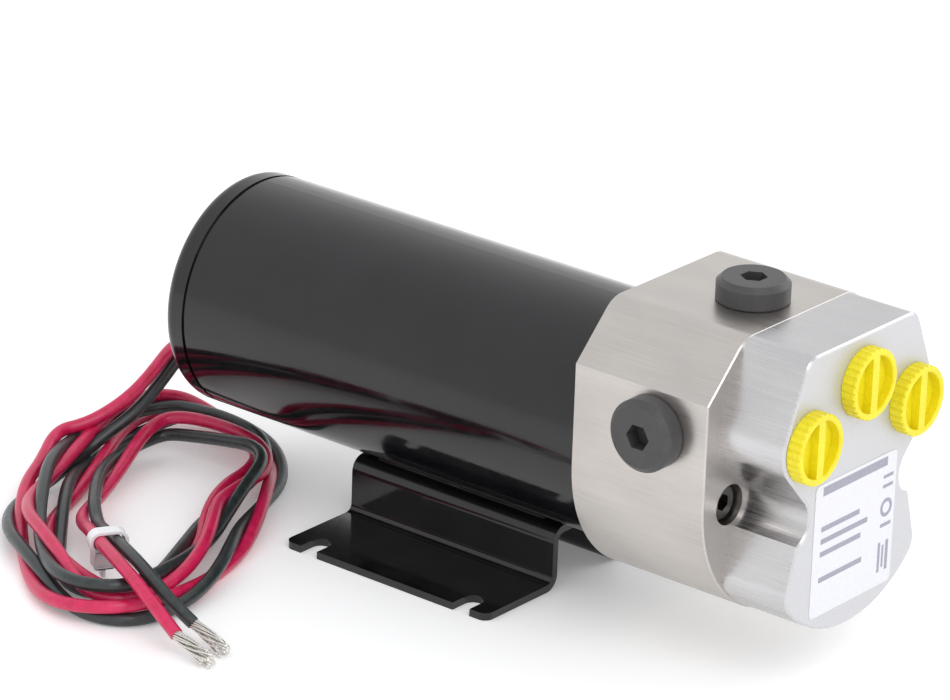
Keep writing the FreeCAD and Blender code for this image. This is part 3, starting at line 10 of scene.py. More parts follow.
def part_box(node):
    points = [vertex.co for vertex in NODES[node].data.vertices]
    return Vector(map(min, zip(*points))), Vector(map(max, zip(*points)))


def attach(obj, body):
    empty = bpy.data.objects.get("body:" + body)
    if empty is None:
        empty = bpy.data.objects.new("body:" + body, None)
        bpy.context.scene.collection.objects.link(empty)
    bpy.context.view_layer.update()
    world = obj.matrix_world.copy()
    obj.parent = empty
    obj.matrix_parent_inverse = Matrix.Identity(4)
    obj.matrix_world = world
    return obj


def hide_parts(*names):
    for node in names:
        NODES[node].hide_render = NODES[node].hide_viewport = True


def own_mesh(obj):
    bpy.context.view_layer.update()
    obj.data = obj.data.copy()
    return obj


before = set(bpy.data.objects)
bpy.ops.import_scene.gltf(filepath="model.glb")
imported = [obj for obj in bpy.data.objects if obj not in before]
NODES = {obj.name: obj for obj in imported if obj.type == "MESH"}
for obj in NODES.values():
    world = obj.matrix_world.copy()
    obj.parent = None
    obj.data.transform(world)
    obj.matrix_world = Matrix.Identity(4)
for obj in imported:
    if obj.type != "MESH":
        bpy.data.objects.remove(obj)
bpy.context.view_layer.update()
MM = 0.001


# ---------------------------------------------------------------- camera

CAMERA_ANGLES = (38.63, 22.02, 1.96)
CAMERA_TARGET = Vector((-0.0053, -0.0212, 0.0630))
CAMERA_DISTANCE = 1.35
FOCAL_LENGTH, SENSOR_WIDTH = 202.9, 36


def place_camera():
    """The photograph's view: a long lens, a little above the unit, looking at its port end."""
    azimuth, elevation, roll = (math.radians(value) for value in CAMERA_ANGLES)
    back = Vector((math.sin(azimuth) * math.cos(elevation),
                   -math.cos(azimuth) * math.cos(elevation), math.sin(elevation)))
    level = Vector((0, 0, 1)).cross(back).normalized()
    upright = back.cross(level)
    right = level * math.cos(roll) + upright * math.sin(roll)
    top = upright * math.cos(roll) - level * math.sin(roll)
    lens = bpy.data.cameras.new("camera")
    lens.lens = FOCAL_LENGTH
    lens.sensor_width = SENSOR_WIDTH
    lens.clip_end = 20
    camera = bpy.data.objects.new("camera", lens)
    turn = Matrix((right, top, back)).transposed().to_4x4()
    spot = CAMERA_TARGET + back * CAMERA_DISTANCE
    camera.matrix_world = Matrix.Translation(spot) @ turn
    bpy.context.collection.objects.link(camera)
    bpy.context.scene.camera = camera


# ---------------------------------------------------------------- leads

LEAD_DIAMETER = 0.0035
RED_RUN = [(-0.1025, -0.0186, 0.0368), (-0.1068, -0.0186, 0.0362), (-0.1110, -0.0188, 0.0328),
           (-0.1146, -0.0194, 0.0276), (-0.1178, -0.0208, 0.0226), (-0.1208, -0.0236, 0.0180),
           (-0.1240, -0.0284, 0.0140), (-0.1272, -0.0344, 0.0112), (-0.1294, -0.0410, 0.0092)]
BLACK_RUN = [(-0.1025, -0.0162, 0.0334), (-0.1066, -0.0162, 0.0328), (-0.1104, -0.0163, 0.0296),
             (-0.1134, -0.0166, 0.0252), (-0.1162, -0.0174, 0.0208), (-0.1184, -0.0198, 0.0164),
             (-0.1204, -0.0242, 0.0122), (-0.1226, -0.0304, 0.0088), (-0.1246, -0.0376, 0.0068)]
RED_TAIL = [(-0.0895, -0.0754, 0.0080), (-0.0815, -0.0816, 0.0098), (-0.0730, -0.0876, 0.0118),
            (-0.0640, -0.0932, 0.0130), (-0.0550, -0.0980, 0.0134), (-0.0465, -0.1018, 0.0128),
            (-0.0385, -0.1046, 0.0104), (-0.0285, -0.1064, 0.0055)]
BLACK_TAIL = [(-0.0855, -0.0736, 0.0080), (-0.0775, -0.0796, 0.0098), (-0.0690, -0.0852, 0.0118),
              (-0.0605, -0.0902, 0.0132), (-0.0515, -0.0946, 0.0134), (-0.0435, -0.0982, 0.0126),
              (-0.0366, -0.0998, 0.0098), (-0.0298, -0.0988, 0.0056)]

RED_END, BLACK_END = (-0.0170, -0.1064, 0.0016), (-0.0183, -0.0988, 0.0016)

COIL_MIDDLE = Vector((-0.0861, -0.0555, 0))
COIL_TURN = math.radians(-56)
# The pair of leads passes the far end, the left side, the near end and the right side of its loose coil
# in turn. Each pass: how far out it is and how high, in mm, and how far the next quarter bulges aside.
PASSES = [(46, 8.5, 0), (32, 4.5, -0.15), (60, 3.8, 0), (25, 3.8, 0.35), (71, 4.8, 0), (25, 3.8, 0),
          (49, 4.8, 0), (17, 4.2, 1.2), (63, 10.5, 0), (29, 8.5, -0.15), (57, 9.5, 0), (21, 9.5, 0.8),
          (50, 11.5, 0), (14, 9.0, 0), (30, 8.0, 0)]
POINTS_A_QUARTER = 6
FIRST_STEP, LAST_STEP = 3, 79
TWISTS = 10
HALF_GAP = 0.0019


def pair_line():
    """The middle of the pair of leads round the coil, from the ends of the runs to the tails."""
    along = Vector((math.cos(COIL_TURN), math.sin(COIL_TURN), 0))
    across = Vector((-along.y, along.x, 0))
    sides = (-along, -across, along, across)
    line = []
    for step in range(FIRST_STEP, LAST_STEP + 1):
        number, share = divmod(step / POINTS_A_QUARTER, 1)
        number = int(number)
        turn = share * math.pi / 2
        (reach, height, bulge), (next_reach, next_height, _) = PASSES[number:number + 2]
        reach *= (1 + bulge * math.sin(2 * turn) ** 2) * math.cos(turn)
        next_reach *= math.sin(turn)
        height += (next_height - height) * share * share * (3 - 2 * share)
        line.append(COIL_MIDDLE + (sides[number % 4] * reach + sides[(number + 1) % 4] * next_reach
                                   + Vector((0, 0, height))) * MM)
    line.append((Vector(RED_TAIL[0]) + Vector(BLACK_TAIL[0])) / 2)
    return line


def coil_points(side):
    """The control points of one lead's turns: the two wind loosely round each other as they go."""
    line = pair_line()
    steps = [0.0]
    for start, end in zip(line, line[1:]):
        steps.append(steps[-1] + (end - start).length)
    points = []
    for number in range(1, len(line) - 1):
        ahead = (line[number + 1] - line[number - 1]).normalized()
        left = Vector((0, 0, 1)).cross(ahead).normalized()
        turn = 2 * math.pi * TWISTS * steps[number] / steps[-1]
        aside = Vector((0, 0, 1)) * math.sin(turn) - left * math.cos(turn)
        points.append(line[number] + aside * HALF_GAP * side)
    return points


def spline_weights(count, samples):
    """How much each control point of a quadratic B-spline counts at each sample along it."""
    weights = np.zeros((count * samples, count))
    for number in range(1, count - 1):
        for step in range(samples):
            share = step / samples
            row = weights[number * samples + step]
            row[number - 1] += 0.5 * (1 - share) ** 2
            row[number] += 0.5 + share * (1 - share)
            row[number + 1] += 0.5 * share ** 2
    return weights[samples:-samples]


# How the loose turns settle, in metres a step. While they sink, each stretch is drawn evenly between its
# neighbours and back towards where it began; after that the leads mostly push each other apart.
SAMPLES = 5
SETTLE_STEPS, SINK_STEPS = 420, 190
SINK = 0.00004
EVENING, LATE_EVENING, DRAW_BACK = 0.25, 0.04, 0.01
PUSH = 1.6
SPACING = LEAD_DIAMETER * 1.03
HIGHEST = 0.0138
FLOOR_GAP = 0.0001
OWN_NEIGHBOURS = SAMPLES * 1.2


def settle(routes, held):
    """Lets the loose turns sink onto the floor and each other, and pushes leads that meet apart."""
    counts = [len(route) for route in routes]
    starts = np.cumsum([0] + counts)
    points = np.array([point for route in routes for point in route], float)
    first = points.copy()
    blocks = [spline_weights(count, SAMPLES) for count in counts]
    rows = sum(len(block) for block in blocks)
    weights = np.zeros((rows, starts[-1]))
    owner, place, row = np.zeros(rows, int), np.zeros(rows), 0
    for number, block in enumerate(blocks):
        weights[row:row + len(block), starts[number]:starts[number + 1]] = block
        owner[row:row + len(block)] = number
        place[row:row + len(block)] = np.arange(len(block))
        row += len(block)
    near = (owner[:, None] == owner[None, :]) & (abs(place[:, None] - place[None, :]) < OWN_NEIGHBOURS)
    free = np.ones(starts[-1], bool)
    for number, (head, tail) in enumerate(held):
        free[starts[number]:starts[number] + head] = False
        free[starts[number + 1] - tail:starts[number + 1]] = False
    share = weights.sum(0)[:, None] + 1e-9
    for step in range(SETTLE_STEPS):
        spots = weights @ points
        gap = spots[:, None, :] - spots[None, :, :]
        distance = np.sqrt((gap ** 2).sum(2)) + 1e-9
        depth = np.where(near, 0, np.clip(SPACING - distance, 0, None))
        push = (gap / distance[:, :, None] * depth[:, :, None] * 0.5).sum(1)
        push /= np.maximum((depth > 0).sum(1) ** 0.5, 1)[:, None]
        push[:, 2] += np.clip(LEAD_DIAMETER / 2 - spots[:, 2], 0, None)
        push[:, 2] -= np.clip(spots[:, 2] - HIGHEST, 0, None) * 0.5
        change = weights.T @ push / share * PUSH
        if step < SINK_STEPS:
            change[:, 2] -= SINK
        bend = np.zeros_like(points)
        shift = points - first
        for low, high in zip(starts, starts[1:]):
            bend[low + 1:high - 1] = (shift[low:high - 2] + shift[low + 2:high]) / 2 - shift[low + 1:high - 1]
        if step < SINK_STEPS:
            change += bend * EVENING
            change[:, :2] -= shift[:, :2] * DRAW_BACK
        else:
            change += bend * LATE_EVENING
        points[free] += change[free]
        points[free, 2] = np.maximum(points[free, 2], LEAD_DIAMETER / 2 + FLOOR_GAP)
    return [points[low:high] for low, high in zip(starts, starts[1:])]


def lead_curve(name, points):
    """One lead: a round tube on one smooth spline."""
    curve = bpy.data.curves.new(name, "CURVE")
    curve.dimensions = "3D"
    curve.bevel_depth = LEAD_DIAMETER / 2
    curve.bevel_resolution = 5
    curve.use_fill_caps = True
    curve.resolution_u = 8
    spline = curve.splines.new("NURBS")
    spline.points.add(len(points) - 1)
    for spot, point in zip(spline.points, points):
        spot.co = (*point, 1)
    spline.order_u = 3
    spline.use_endpoint_u = True
    item = bpy.data.objects.new(name, curve)
    bpy.context.collection.objects.link(item)
    return item


def make_leads():
    """Both leads, from the grommet through the loose coil to their bare ends."""
    routes = [[Vector(spot) for spot in run] + coil_points(side) + [Vector(spot) for spot in tail]
              for run, tail, side in ((RED_RUN, RED_TAIL, 1), (BLACK_RUN, BLACK_TAIL, -1))]
    settled = settle(routes, [(len(RED_RUN) - 1, len(RED_TAIL) - 1)] * 2)
    return [lead_curve(name, points) for name, points in zip(("red_lead", "black_lead"), settled)]


# ---------------------------------------------------------------- pieces in mesh code

def mesh_object(name, shape, smooth=False):
    """An object with the mesh that a bmesh holds."""
    bmesh.ops.recalc_face_normals(shape, faces=shape.faces)
    mesh = bpy.data.meshes.new(name)
    shape.to_mesh(mesh)
    shape.free()
    mesh.polygons.foreach_set("use_smooth", [smooth] * len(mesh.polygons))
    item = bpy.data.objects.new(name, mesh)
    bpy.context.collection.objects.link(item)
    return item


def soften(item, width):
    """Rounds a piece's edges a little, so that they catch the light."""
    bevel = item.modifiers.new("edges", "BEVEL")
    bevel.width = width
    bevel.segments = 2
    bevel.limit_method = "ANGLE"
    bevel.angle_limit = math.radians(35)
    bevel.harden_normals = True


def sweep(shape, points, radius, sides):
    """Adds a closed round tube along points to a bmesh."""
    rings = []
    for number, point in enumerate(points):
        ahead = points[min(number + 1, len(points) - 1)] - points[max(number - 1, 0)]
        side = ahead.cross(Vector((0, 0, 1))).normalized()
        upward = side.cross(ahead).normalized()
        ring = []
        for corner in range(sides):
            turn = 2 * math.pi * corner / sides
            ring.append(shape.verts.new(point + (side * math.cos(turn) + upward * math.sin(turn)) * radius))
        rings.append(ring)
    for near, far in zip(rings, rings[1:]):
        for corner in range(sides):
            follow = (corner + 1) % sides
            shape.faces.new((near[corner], near[follow], far[follow], far[corner]))
    shape.faces.new(rings[0])
    shape.faces.new(rings[-1])


STRANDS, STRAND_SIDES, STRAND_STEPS = 19, 7, 10
STRAND_RADIUS = 0.00027
STRAND_TWIST = 2.2


def strand_bundle(name, start, end, seed):
    """The tinned strands of a stripped lead end: laid in a twist, then splayed a little."""
    draw = random.Random(seed)
    start, end = Vector(start), Vector(end)
    ahead = (end - start).normalized()
    side = ahead.cross(Vector((0, 0, 1))).normalized()
    upward = side.cross(ahead).normalized()
    shape = bmesh.new()
    for number in range(STRANDS):
        ring = 0 if number == 0 else 1 if number < 7 else 2
        seat = number if ring < 2 else number - 7
        spacing = STRAND_RADIUS * 2.05 * ring
        angle = 2 * math.pi * seat / (6 if ring < 2 else 12)
        stray, reach = draw.uniform(0.7, 1.9), draw.uniform(0.82, 1.04)
        lean = draw.uniform(-0.5, 0.5)
        points = []
        for step in range(STRAND_STEPS + 1):
            share = step / STRAND_STEPS
            splay = 1 + (stray - 0.7) * share ** 1.6
            turn = angle + share * STRAND_TWIST + lean * share ** 2
            spot = start + (end - start) * (share * reach - 0.12 * (1 - share))
            spot += (side * math.cos(turn) + upward * math.sin(turn)) * spacing * splay
            spot.z = max(spot.z, STRAND_RADIUS * 1.1)
            points.append(spot)
        sweep(shape, points, STRAND_RADIUS, STRAND_SIDES)
    return mesh_object(name, shape, smooth=True)


TIE_MIDDLE = Vector((-0.0700, -0.0868, 0.0120))
TIE_AHEAD = Vector((0.844, -0.525, 0.0)).normalized()
TIE_SIDE = Vector((0, 0, 1)).cross(TIE_AHEAD)
TIE_WIDE, TIE_HIGH, TIE_THICK, TIE_BAND = 0.0104, 0.0061, 0.0011, 0.0036
TIE_OUTER_ROUND, TIE_INNER_ROUND, TIE_ROUND_STEPS = 0.0029, 0.0018, 7
TIE_HEAD = ((-0.0040, -0.0072, -0.0025), (0.0012, -0.0026, 0.0025))
TIE_CUT_END = ((-0.0020, -0.0098, -0.0016), (-0.0009, -0.0070, 0.0016))
TIE_EDGE = 0.00028


def tie_place(across, up, along):
    """A point of the tie, from its middle: across the leads, up, and along them."""
    return TIE_MIDDLE + TIE_SIDE * across + Vector((0, 0, up)) + TIE_AHEAD * along


def rounded_loop(wide, high, corner, steps):
    """Points round a rectangle with round corners."""
    spots = []
    for quarter, (x, z) in enumerate(((1, 1), (-1, 1), (-1, -1), (1, -1))):
        middle = ((wide / 2 - corner) * x, (high / 2 - corner) * z)
        for step in range(steps + 1):
            turn = math.pi / 2 * (quarter + step / steps)
            spots.append((middle[0] + corner * math.cos(turn), middle[1] + corner * math.sin(turn)))
    return spots


def block(shape, low, high, place):
    """Adds a box to a bmesh between two corners in the place function's terms. Returns its last face."""
    corners = [shape.verts.new(place(x, z, y)) for x in (low[0], high[0])
               for z in (low[1], high[1]) for y in (low[2], high[2])]
    for side in ((0, 1, 3, 2), (4, 6, 7, 5), (0, 4, 5, 1), (2, 3, 7, 6), (0, 2, 6, 4)):
        shape.faces.new([corners[number] for number in side])
    return shape.faces.new([corners[number] for number in (1, 5, 7, 3)])


def close_round(shape, rings):
    """Adds the faces of a closed band whose cross-section is each ring of four corners in turn."""
    for number, near in enumerate(rings):
        far = rings[(number + 1) % len(rings)]
        for corner in range(4):
            follow = (corner + 1) % 4
            shape.faces.new((near[corner], near[follow], far[follow], far[corner]))


def make_tie():
    """A nylon tie: the band round both leads, its locking head, and the cut end that comes out of it."""
    shape = bmesh.new()
    outer = rounded_loop(TIE_WIDE, TIE_HIGH, TIE_OUTER_ROUND, TIE_ROUND_STEPS)
    inner = rounded_loop(TIE_WIDE - 2 * TIE_THICK, TIE_HIGH - 2 * TIE_THICK, TIE_INNER_ROUND,
                         TIE_ROUND_STEPS)
    rings = [[shape.verts.new(tie_place(x, z, y)) for (x, z), y in
              ((away, -TIE_BAND / 2), (away, TIE_BAND / 2), (close, TIE_BAND / 2), (close, -TIE_BAND / 2))]
             for away, close in zip(outer, inner)]
    close_round(shape, rings)
    window = block(shape, *TIE_HEAD, tie_place)
    bmesh.ops.inset_individual(shape, faces=[window], thickness=0.0010, depth=0)
    bmesh.ops.translate(shape, verts=window.verts, vec=TIE_AHEAD * -0.0012)
    block(shape, *TIE_CUT_END, tie_place)
    item = mesh_object("nylon_tie", shape)
    soften(item, TIE_EDGE)
    return item


# Bars in place of the label's print: across from its left edge, down from its top, length and height, in mm.
LABEL_BARS = [(3.0, 0.9, 27.0, 2.4), (3.0, 11.5, 16.0, 1.4), (3.0, 14.8, 19.6, 1.4), (3.0, 18.2, 17.0, 1.4),
              (3.0, 25.1, 18.0, 1.4), (28.6, 5.8, 4.2, 0.9), (28.6, 8.4, 4.2, 0.9), (28.4, 18.9, 4.4, 1.0),
              (28.0, 23.9, 1.0, 8.0), (29.7, 24.9, 0.8, 6.0), (31.2, 23.9, 1.2, 8.0)]
# The ring's middle, across and down, and its outer and inner radius, in mm.
LABEL_RING = (30.5, 14.8, 2.5, 1.5)
RING_STEPS = 28
PRINT_THICKNESS = 0.00004


def make_print():
    """Plain bars and a ring where the label is printed."""
    low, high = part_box("label_plate")
    face, left, top = high.x, low.y, high.z

    def spot(across, down, out):
        return Vector((face + (out - 0.25) * PRINT_THICKNESS, left + across * MM, top - down * MM))

    shape = bmesh.new()
    for across, down, length, height in LABEL_BARS:
        block(shape, (across, down, 0), (across + length, down + height, 1), spot)
    across, down, outside, inside = LABEL_RING
    rings = []
    for step in range(RING_STEPS):
        turn = 2 * math.pi * step / RING_STEPS
        rings.append([shape.verts.new(spot(across + size * math.cos(turn), down + size * math.sin(turn), out))
                      for size, out in ((inside, 0), (outside, 0), (outside, 1), (inside, 1))])
    close_round(shape, rings)
    return mesh_object("label_print", shape)


# ---------------------------------------------------------------- materials

class Look:
    """A node material being built, with short ways to add what varies over its surface."""

    def __init__(self, name, **sockets):
        self.material = bpy.data.materials.new(name)
        self.material.use_nodes = True
        self.nodes = self.material.node_tree.nodes
        self.shader = self.nodes["Principled BSDF"]
        self.places = self.nodes.new("ShaderNodeTexCoord").outputs["Object"]
        for socket, value in sockets.items():
            self.shader.inputs[socket.replace("_", " ")].default_value = value

    def join(self, source, target):
        self.material.node_tree.links.new(source, target)

    def noise(self, grain, stretch=(1, 1, 1), detail=4.0, roughness=0.55):
        """Noise of that many grains a metre, stretched out along the directions below 1."""
        mapping = self.nodes.new("ShaderNodeMapping")
        mapping.inputs["Scale"].default_value = [grain * part for part in stretch]
        self.join(self.places, mapping.inputs["Vector"])
        noise = self.nodes.new("ShaderNodeTexNoise")
        noise.inputs["Scale"].default_value = 1.0
        noise.inputs["Detail"].default_value = detail
        noise.inputs["Roughness"].default_value = roughness
        self.join(mapping.outputs["Vector"], noise.inputs["Vector"])
        return noise.outputs["Fac"]

    def colour(self, source, dark, light, low=0.35, high=0.65):
        """A colour from dark to light as source goes from low to high."""
        ramp = self.nodes.new("ShaderNodeValToRGB")
        ramp.color_ramp.elements[0].position = low
        ramp.color_ramp.elements[1].position = high
        ramp.color_ramp.elements[0].color = (*dark, 1)
        ramp.color_ramp.elements[1].color = (*light, 1)
        self.join(source, ramp.inputs["Fac"])
        return ramp.outputs["Color"]

    def value(self, source, low, high, start=0.3, stop=0.7):
        """A number from low to high as source goes from start to stop."""
        spread = self.nodes.new("ShaderNodeMapRange")
        for socket, number in (("From Min", start), ("From Max", stop), ("To Min", low), ("To Max", high)):
            spread.inputs[socket].default_value = number
        self.join(source, spread.inputs["Value"])
        return spread.outputs["Result"]

    def mix(self, share, first, second):
        """Two colours mixed by share, which is a number or a socket."""
        mix = self.nodes.new("ShaderNodeMix")
        mix.data_type = "RGBA"
        if isinstance(share, float):
            mix.inputs["Factor"].default_value = share
        else:
            self.join(share, mix.inputs["Factor"])
        for name, source in (("A", first), ("B", second)):
            socket = next(item for item in mix.inputs if item.name == name and item.type == "RGBA")
            if isinstance(source, tuple):
                socket.default_value = (*source, 1)
            else:
                self.join(source, socket)
        return next(item for item in mix.outputs if item.type == "RGBA")

    def past(self, axis, edge, width):
        """0 below a place along an axis of the object and 1 beyond it."""
        split = self.nodes.new("ShaderNodeSeparateXYZ")
        self.join(self.places, split.inputs["Vector"])
        return self.value(split.outputs[axis], 0.0, 1.0, edge - width / 2, edge + width / 2)

    def paint(self, source):
        self.join(source, self.shader.inputs["Base Color"])

    def gloss(self, source):
        self.join(source, self.shader.inputs["Roughness"])

    def bump(self, *layers):
        """Small relief: each layer is its height source, strength and depth."""
        normal = None
        for source, strength, depth in layers:
            bump = self.nodes.new("ShaderNodeBump")
            bump.inputs["Strength"].default_value = strength
            bump.inputs["Distance"].default_value = depth
            self.join(source, bump.inputs["Height"])
            if normal is not None:
                self.join(normal, bump.inputs["Normal"])
            normal = bump.outputs["Normal"]
        self.join(normal, self.shader.inputs["Normal"])


def gloss_paint(name, dark, light):
    """Stoved black gloss paint: near mirror, with a faint orange peel and a little dust."""
    look = Look(name, Coat_Weight=0.08, Coat_Roughness=0.03)
    look.paint(look.colour(look.noise(60, detail=6), dark, light))
    look.gloss(look.value(look.noise(240, detail=5), 0.07, 0.15))
    look.bump((look.noise(900, detail=2), 0.035, 0.0002), (look.noise(90, detail=2), 0.05, 0.0004))
    return look.material


def brushed_metal(dark, light):
    """The pump body's aluminium, with the fine marks of the cutter along the unit."""
    look = Look("block_aluminium", Metallic=1.0)
    marks = look.noise(2400, (0.012, 1, 1), detail=5, roughness=0.7)
    cloud = look.noise(55, (0.5, 1, 1), detail=5)
    tone = look.colour(marks, dark, light, 0.3, 0.7)
    look.paint(look.mix(0.5, tone, look.colour(cloud, dark, light, 0.3, 0.7)))
    look.gloss(look.value(marks, 0.26, 0.38))
    look.bump((marks, 0.12, 0.00008), (cloud, 0.06, 0.0003))
    return look.material


def housing_metal():
    """The port housing: bright machined walls, and a fine-grained front face painted paler and less metallic
    than the walls, as painted light for the light falling on that face.
    """
    look = Look("housing_aluminium")
    marks = look.noise(2200, (0.015, 1, 1), detail=5, roughness=0.7)
    cloud = look.noise(50, (0.6, 1, 1), detail=5)
    walls = look.mix(0.5, look.colour(marks, (0.50, 0.495, 0.50), (0.68, 0.672, 0.68), 0.3, 0.7),
                     look.colour(cloud, (0.52, 0.512, 0.52), (0.66, 0.652, 0.66), 0.3, 0.7))
    grit = look.noise(3200, detail=3)
    # Painted light: the front face's tone is paler, bluer and less metallic than the walls, a painted
    # highlight for the light falling on that face.
    painted_pale_front = look.colour(grit, (0.56, 0.56, 0.582), (0.64, 0.64, 0.662))
    front = look.past("X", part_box("port_housing")[1].x - 0.0002, 0.0003)
    look.paint(look.mix(front, walls, painted_pale_front))
    look.join(look.value(front, 1.0, 0.55, 0.0, 1.0), look.shader.inputs["Metallic"])
    look.gloss(look.value(look.mix(front, look.colour(marks, (0.24,) * 3, (0.36,) * 3),
                                   look.colour(grit, (0.46,) * 3, (0.56,) * 3)), 0.0, 1.0, 0.0, 1.0))
    look.bump((marks, 0.10, 0.00008), (grit, 0.05, 0.00006))
    return look.material


def plain(name, dark, light, grain, rough, relief, metal):
    """A surface whose tone and gloss vary with a fine grain over a broad cloudiness."""
    look = Look(name, Metallic=metal)
    fine, broad = look.noise(grain), look.noise(40, detail=5)
    look.paint(look.mix(0.5, look.colour(fine, dark, light), look.colour(broad, dark, light)))
    look.gloss(look.value(fine, *rough))
    look.bump((fine, relief, 0.0001), (broad, 0.05, 0.0004))
    return look.material


# For each plain slot: dark and light colour, grains a metre, roughness from and to, relief and metal.
PLAIN = {
    "grommet_rubber": ((0.012, 0.012, 0.013), (0.028, 0.028, 0.030), 2500, (0.55, 0.72), 0.25, 0.0),
    "seal_rubber": ((0.016, 0.016, 0.017), (0.034, 0.034, 0.035), 2600, (0.38, 0.52), 0.15, 0.0),
    "bright_steel": ((0.56, 0.56, 0.57), (0.70, 0.70, 0.71), 1800, (0.14, 0.26), 0.06, 1.0),
    # screw_steel is the screw's own dull brown-grey, darkened further with painted shade for the shadow in
    # the pocket round the body's screw.
    "screw_steel": ((0.075, 0.071, 0.068), (0.135, 0.128, 0.122), 1500, (0.28, 0.42), 0.10, 1.0),
    "zinc_plate": ((0.46, 0.47, 0.49), (0.64, 0.64, 0.66), 700, (0.24, 0.40), 0.08, 1.0),
    "ferrite": ((0.06, 0.06, 0.068), (0.12, 0.12, 0.13), 1600, (0.50, 0.70), 0.30, 0.2),
    "copper": ((0.60, 0.27, 0.13), (0.84, 0.46, 0.27), 1400, (0.18, 0.34), 0.10, 1.0),
    "phenolic": ((0.16, 0.07, 0.03), (0.32, 0.17, 0.09), 900, (0.35, 0.50), 0.12, 0.0),
    "carbon": ((0.035, 0.035, 0.040), (0.075, 0.075, 0.080), 2600, (0.40, 0.60), 0.20, 0.3),
    "bronze": ((0.46, 0.30, 0.13), (0.68, 0.50, 0.27), 1300, (0.24, 0.38), 0.12, 1.0),
    "plug_grey": ((0.036, 0.035, 0.037), (0.062, 0.060, 0.062), 1900, (0.34, 0.50), 0.16, 0.0),
    "tinned_copper": ((0.62, 0.59, 0.54), (0.86, 0.84, 0.80), 2200, (0.20, 0.36), 0.10, 1.0),
    "tie_nylon": ((0.74, 0.75, 0.78), (0.88, 0.88, 0.90), 1500, (0.26, 0.38), 0.08, 0.0),
}


def laminated_steel():
    """A stack of thin stamped sheets, seen as fine rings along the shaft."""
    look = Look("lamination", Metallic=1.0)
    sheets = look.noise(2000, (1, 0.02, 0.02), detail=1)
    rust = look.noise(300, detail=6)
    look.paint(look.mix(0.35, look.colour(sheets, (0.24, 0.24, 0.26), (0.52, 0.53, 0.55), 0.42, 0.58),
                        look.colour(rust, (0.30, 0.27, 0.25), (0.50, 0.50, 0.51))))
    look.gloss(look.value(sheets, 0.32, 0.5))
    look.bump((sheets, 0.5, 0.0002))
    return look.material


def enamelled_wire():
    """Turns of varnished copper wire lying side by side."""
    look = Look("winding_wire", Metallic=0.85, Coat_Weight=0.7, Coat_Roughness=0.12)
    wires = look.noise(1100, (0.08, 1, 1), detail=2)
    varnish = look.noise(160, detail=5)
    look.paint(look.mix(0.4, look.colour(wires, (0.30, 0.10, 0.035), (0.78, 0.38, 0.18), 0.4, 0.6),
                        look.colour(varnish, (0.36, 0.14, 0.05), (0.66, 0.33, 0.15))))
    look.gloss(look.value(wires, 0.22, 0.4))
    look.bump((wires, 0.7, 0.0004))
    return look.material


def cap_plastic():
    """Bright yellow polythene caps, a little waxy and scuffed."""
    look = Look("cap_yellow", Subsurface_Weight=0.12, Subsurface_Scale=0.002)
    look.shader.inputs["Subsurface Radius"].default_value = (1.0, 0.8, 0.1)
    scuffs, cloud = look.noise(1300, detail=6), look.noise(140, detail=3)
    look.paint(look.mix(0.5, look.colour(scuffs, (0.72, 0.60, 0.004), (0.84, 0.74, 0.016)),
                        look.colour(cloud, (0.75, 0.63, 0.004), (0.85, 0.75, 0.014))))
    look.gloss(look.value(scuffs, 0.30, 0.44))
    look.bump((scuffs, 0.06, 0.0001), (cloud, 0.08, 0.0003))
    return look.material


def label_film(name, dark, light):
    """Satin white film with the faint waviness of a sheet stuck down by hand."""
    look = Look(name, Coat_Weight=0.25, Coat_Roughness=0.2)
    fibre, wave = look.noise(2600, detail=3), look.noise(110, detail=2)
    look.paint(look.colour(fibre, dark, light))
    look.gloss(look.value(fibre, 0.34, 0.46))
    look.bump((wave, 0.10, 0.0003), (fibre, 0.04, 0.00005))
    return look.material


def lead_plastic(name, dark, light, worn):
    """The leads' satin PVC: drawn along its length, with handling marks."""
    look = Look(name, Coat_Weight=0.18, Coat_Roughness=0.22)
    drawn, marks = look.noise(420, detail=5), look.noise(1500, detail=6)
    look.paint(look.mix(look.value(marks, 0.0, 0.55, 0.60, 0.76),
                        look.colour(drawn, dark, light, 0.3, 0.7), worn))
    look.gloss(look.value(drawn, 0.30, 0.46))
    look.bump((drawn, 0.08, 0.0002), (marks, 0.05, 0.0001))
    return look.material


def make_materials():
    """A material for each of the record's slots, by the slot's name."""
    made = {slot: plain(slot, *finish) for slot, finish in PLAIN.items()}
    made["motor_paint"] = gloss_paint("motor_paint", (0.0035, 0.0035, 0.0042), (0.0065, 0.0065, 0.0075))
    made["foot_paint"] = gloss_paint("foot_paint", (0.006, 0.006, 0.0068), (0.011, 0.011, 0.0122))
    made["block_aluminium"] = brushed_metal((0.475, 0.445, 0.42), (0.64, 0.605, 0.57))
    made["housing_aluminium"] = housing_metal()
    made["lamination"] = laminated_steel()
    made["winding_wire"] = enamelled_wire()
    made["cap_yellow"] = cap_plastic()
    made["label_film"] = label_film("label_film", (0.68, 0.68, 0.73), (0.74, 0.74, 0.79))
    made["label_ink"] = label_film("label_ink", (0.27, 0.27, 0.34), (0.33, 0.33, 0.40))
    made["lead_red"] = lead_plastic("lead_red", (0.50, 0.004, 0.055), (0.66, 0.012, 0.105),
                                    (0.72, 0.08, 0.17))
    made["lead_black"] = lead_plastic("lead_black", (0.012, 0.017, 0.018), (0.028, 0.036, 0.037),
                                      (0.07, 0.08, 0.08))
    return made


def dress_nodes(looks):
    """Gives every CAD node the material of its slot."""
    for name, item in NODES.items():
        slot = "winding_wire" if name == "armature_windings" else item.material_slots[0].material.name
        item.material_slots[0].material = looks[slot.split(".")[0]]


# ---------------------------------------------------------------- studio

FLOOR_HALF, FLOOR_LEVEL = 15.0, -0.00005
# Each lamp's name, place, width in metres and power in watts.
LAMPS = [("key", (1.2, -0.6, 1.3), 1.3, 9.0), ("fill", (0.5, 1.5, 1.0), 1.2, 5.0)]


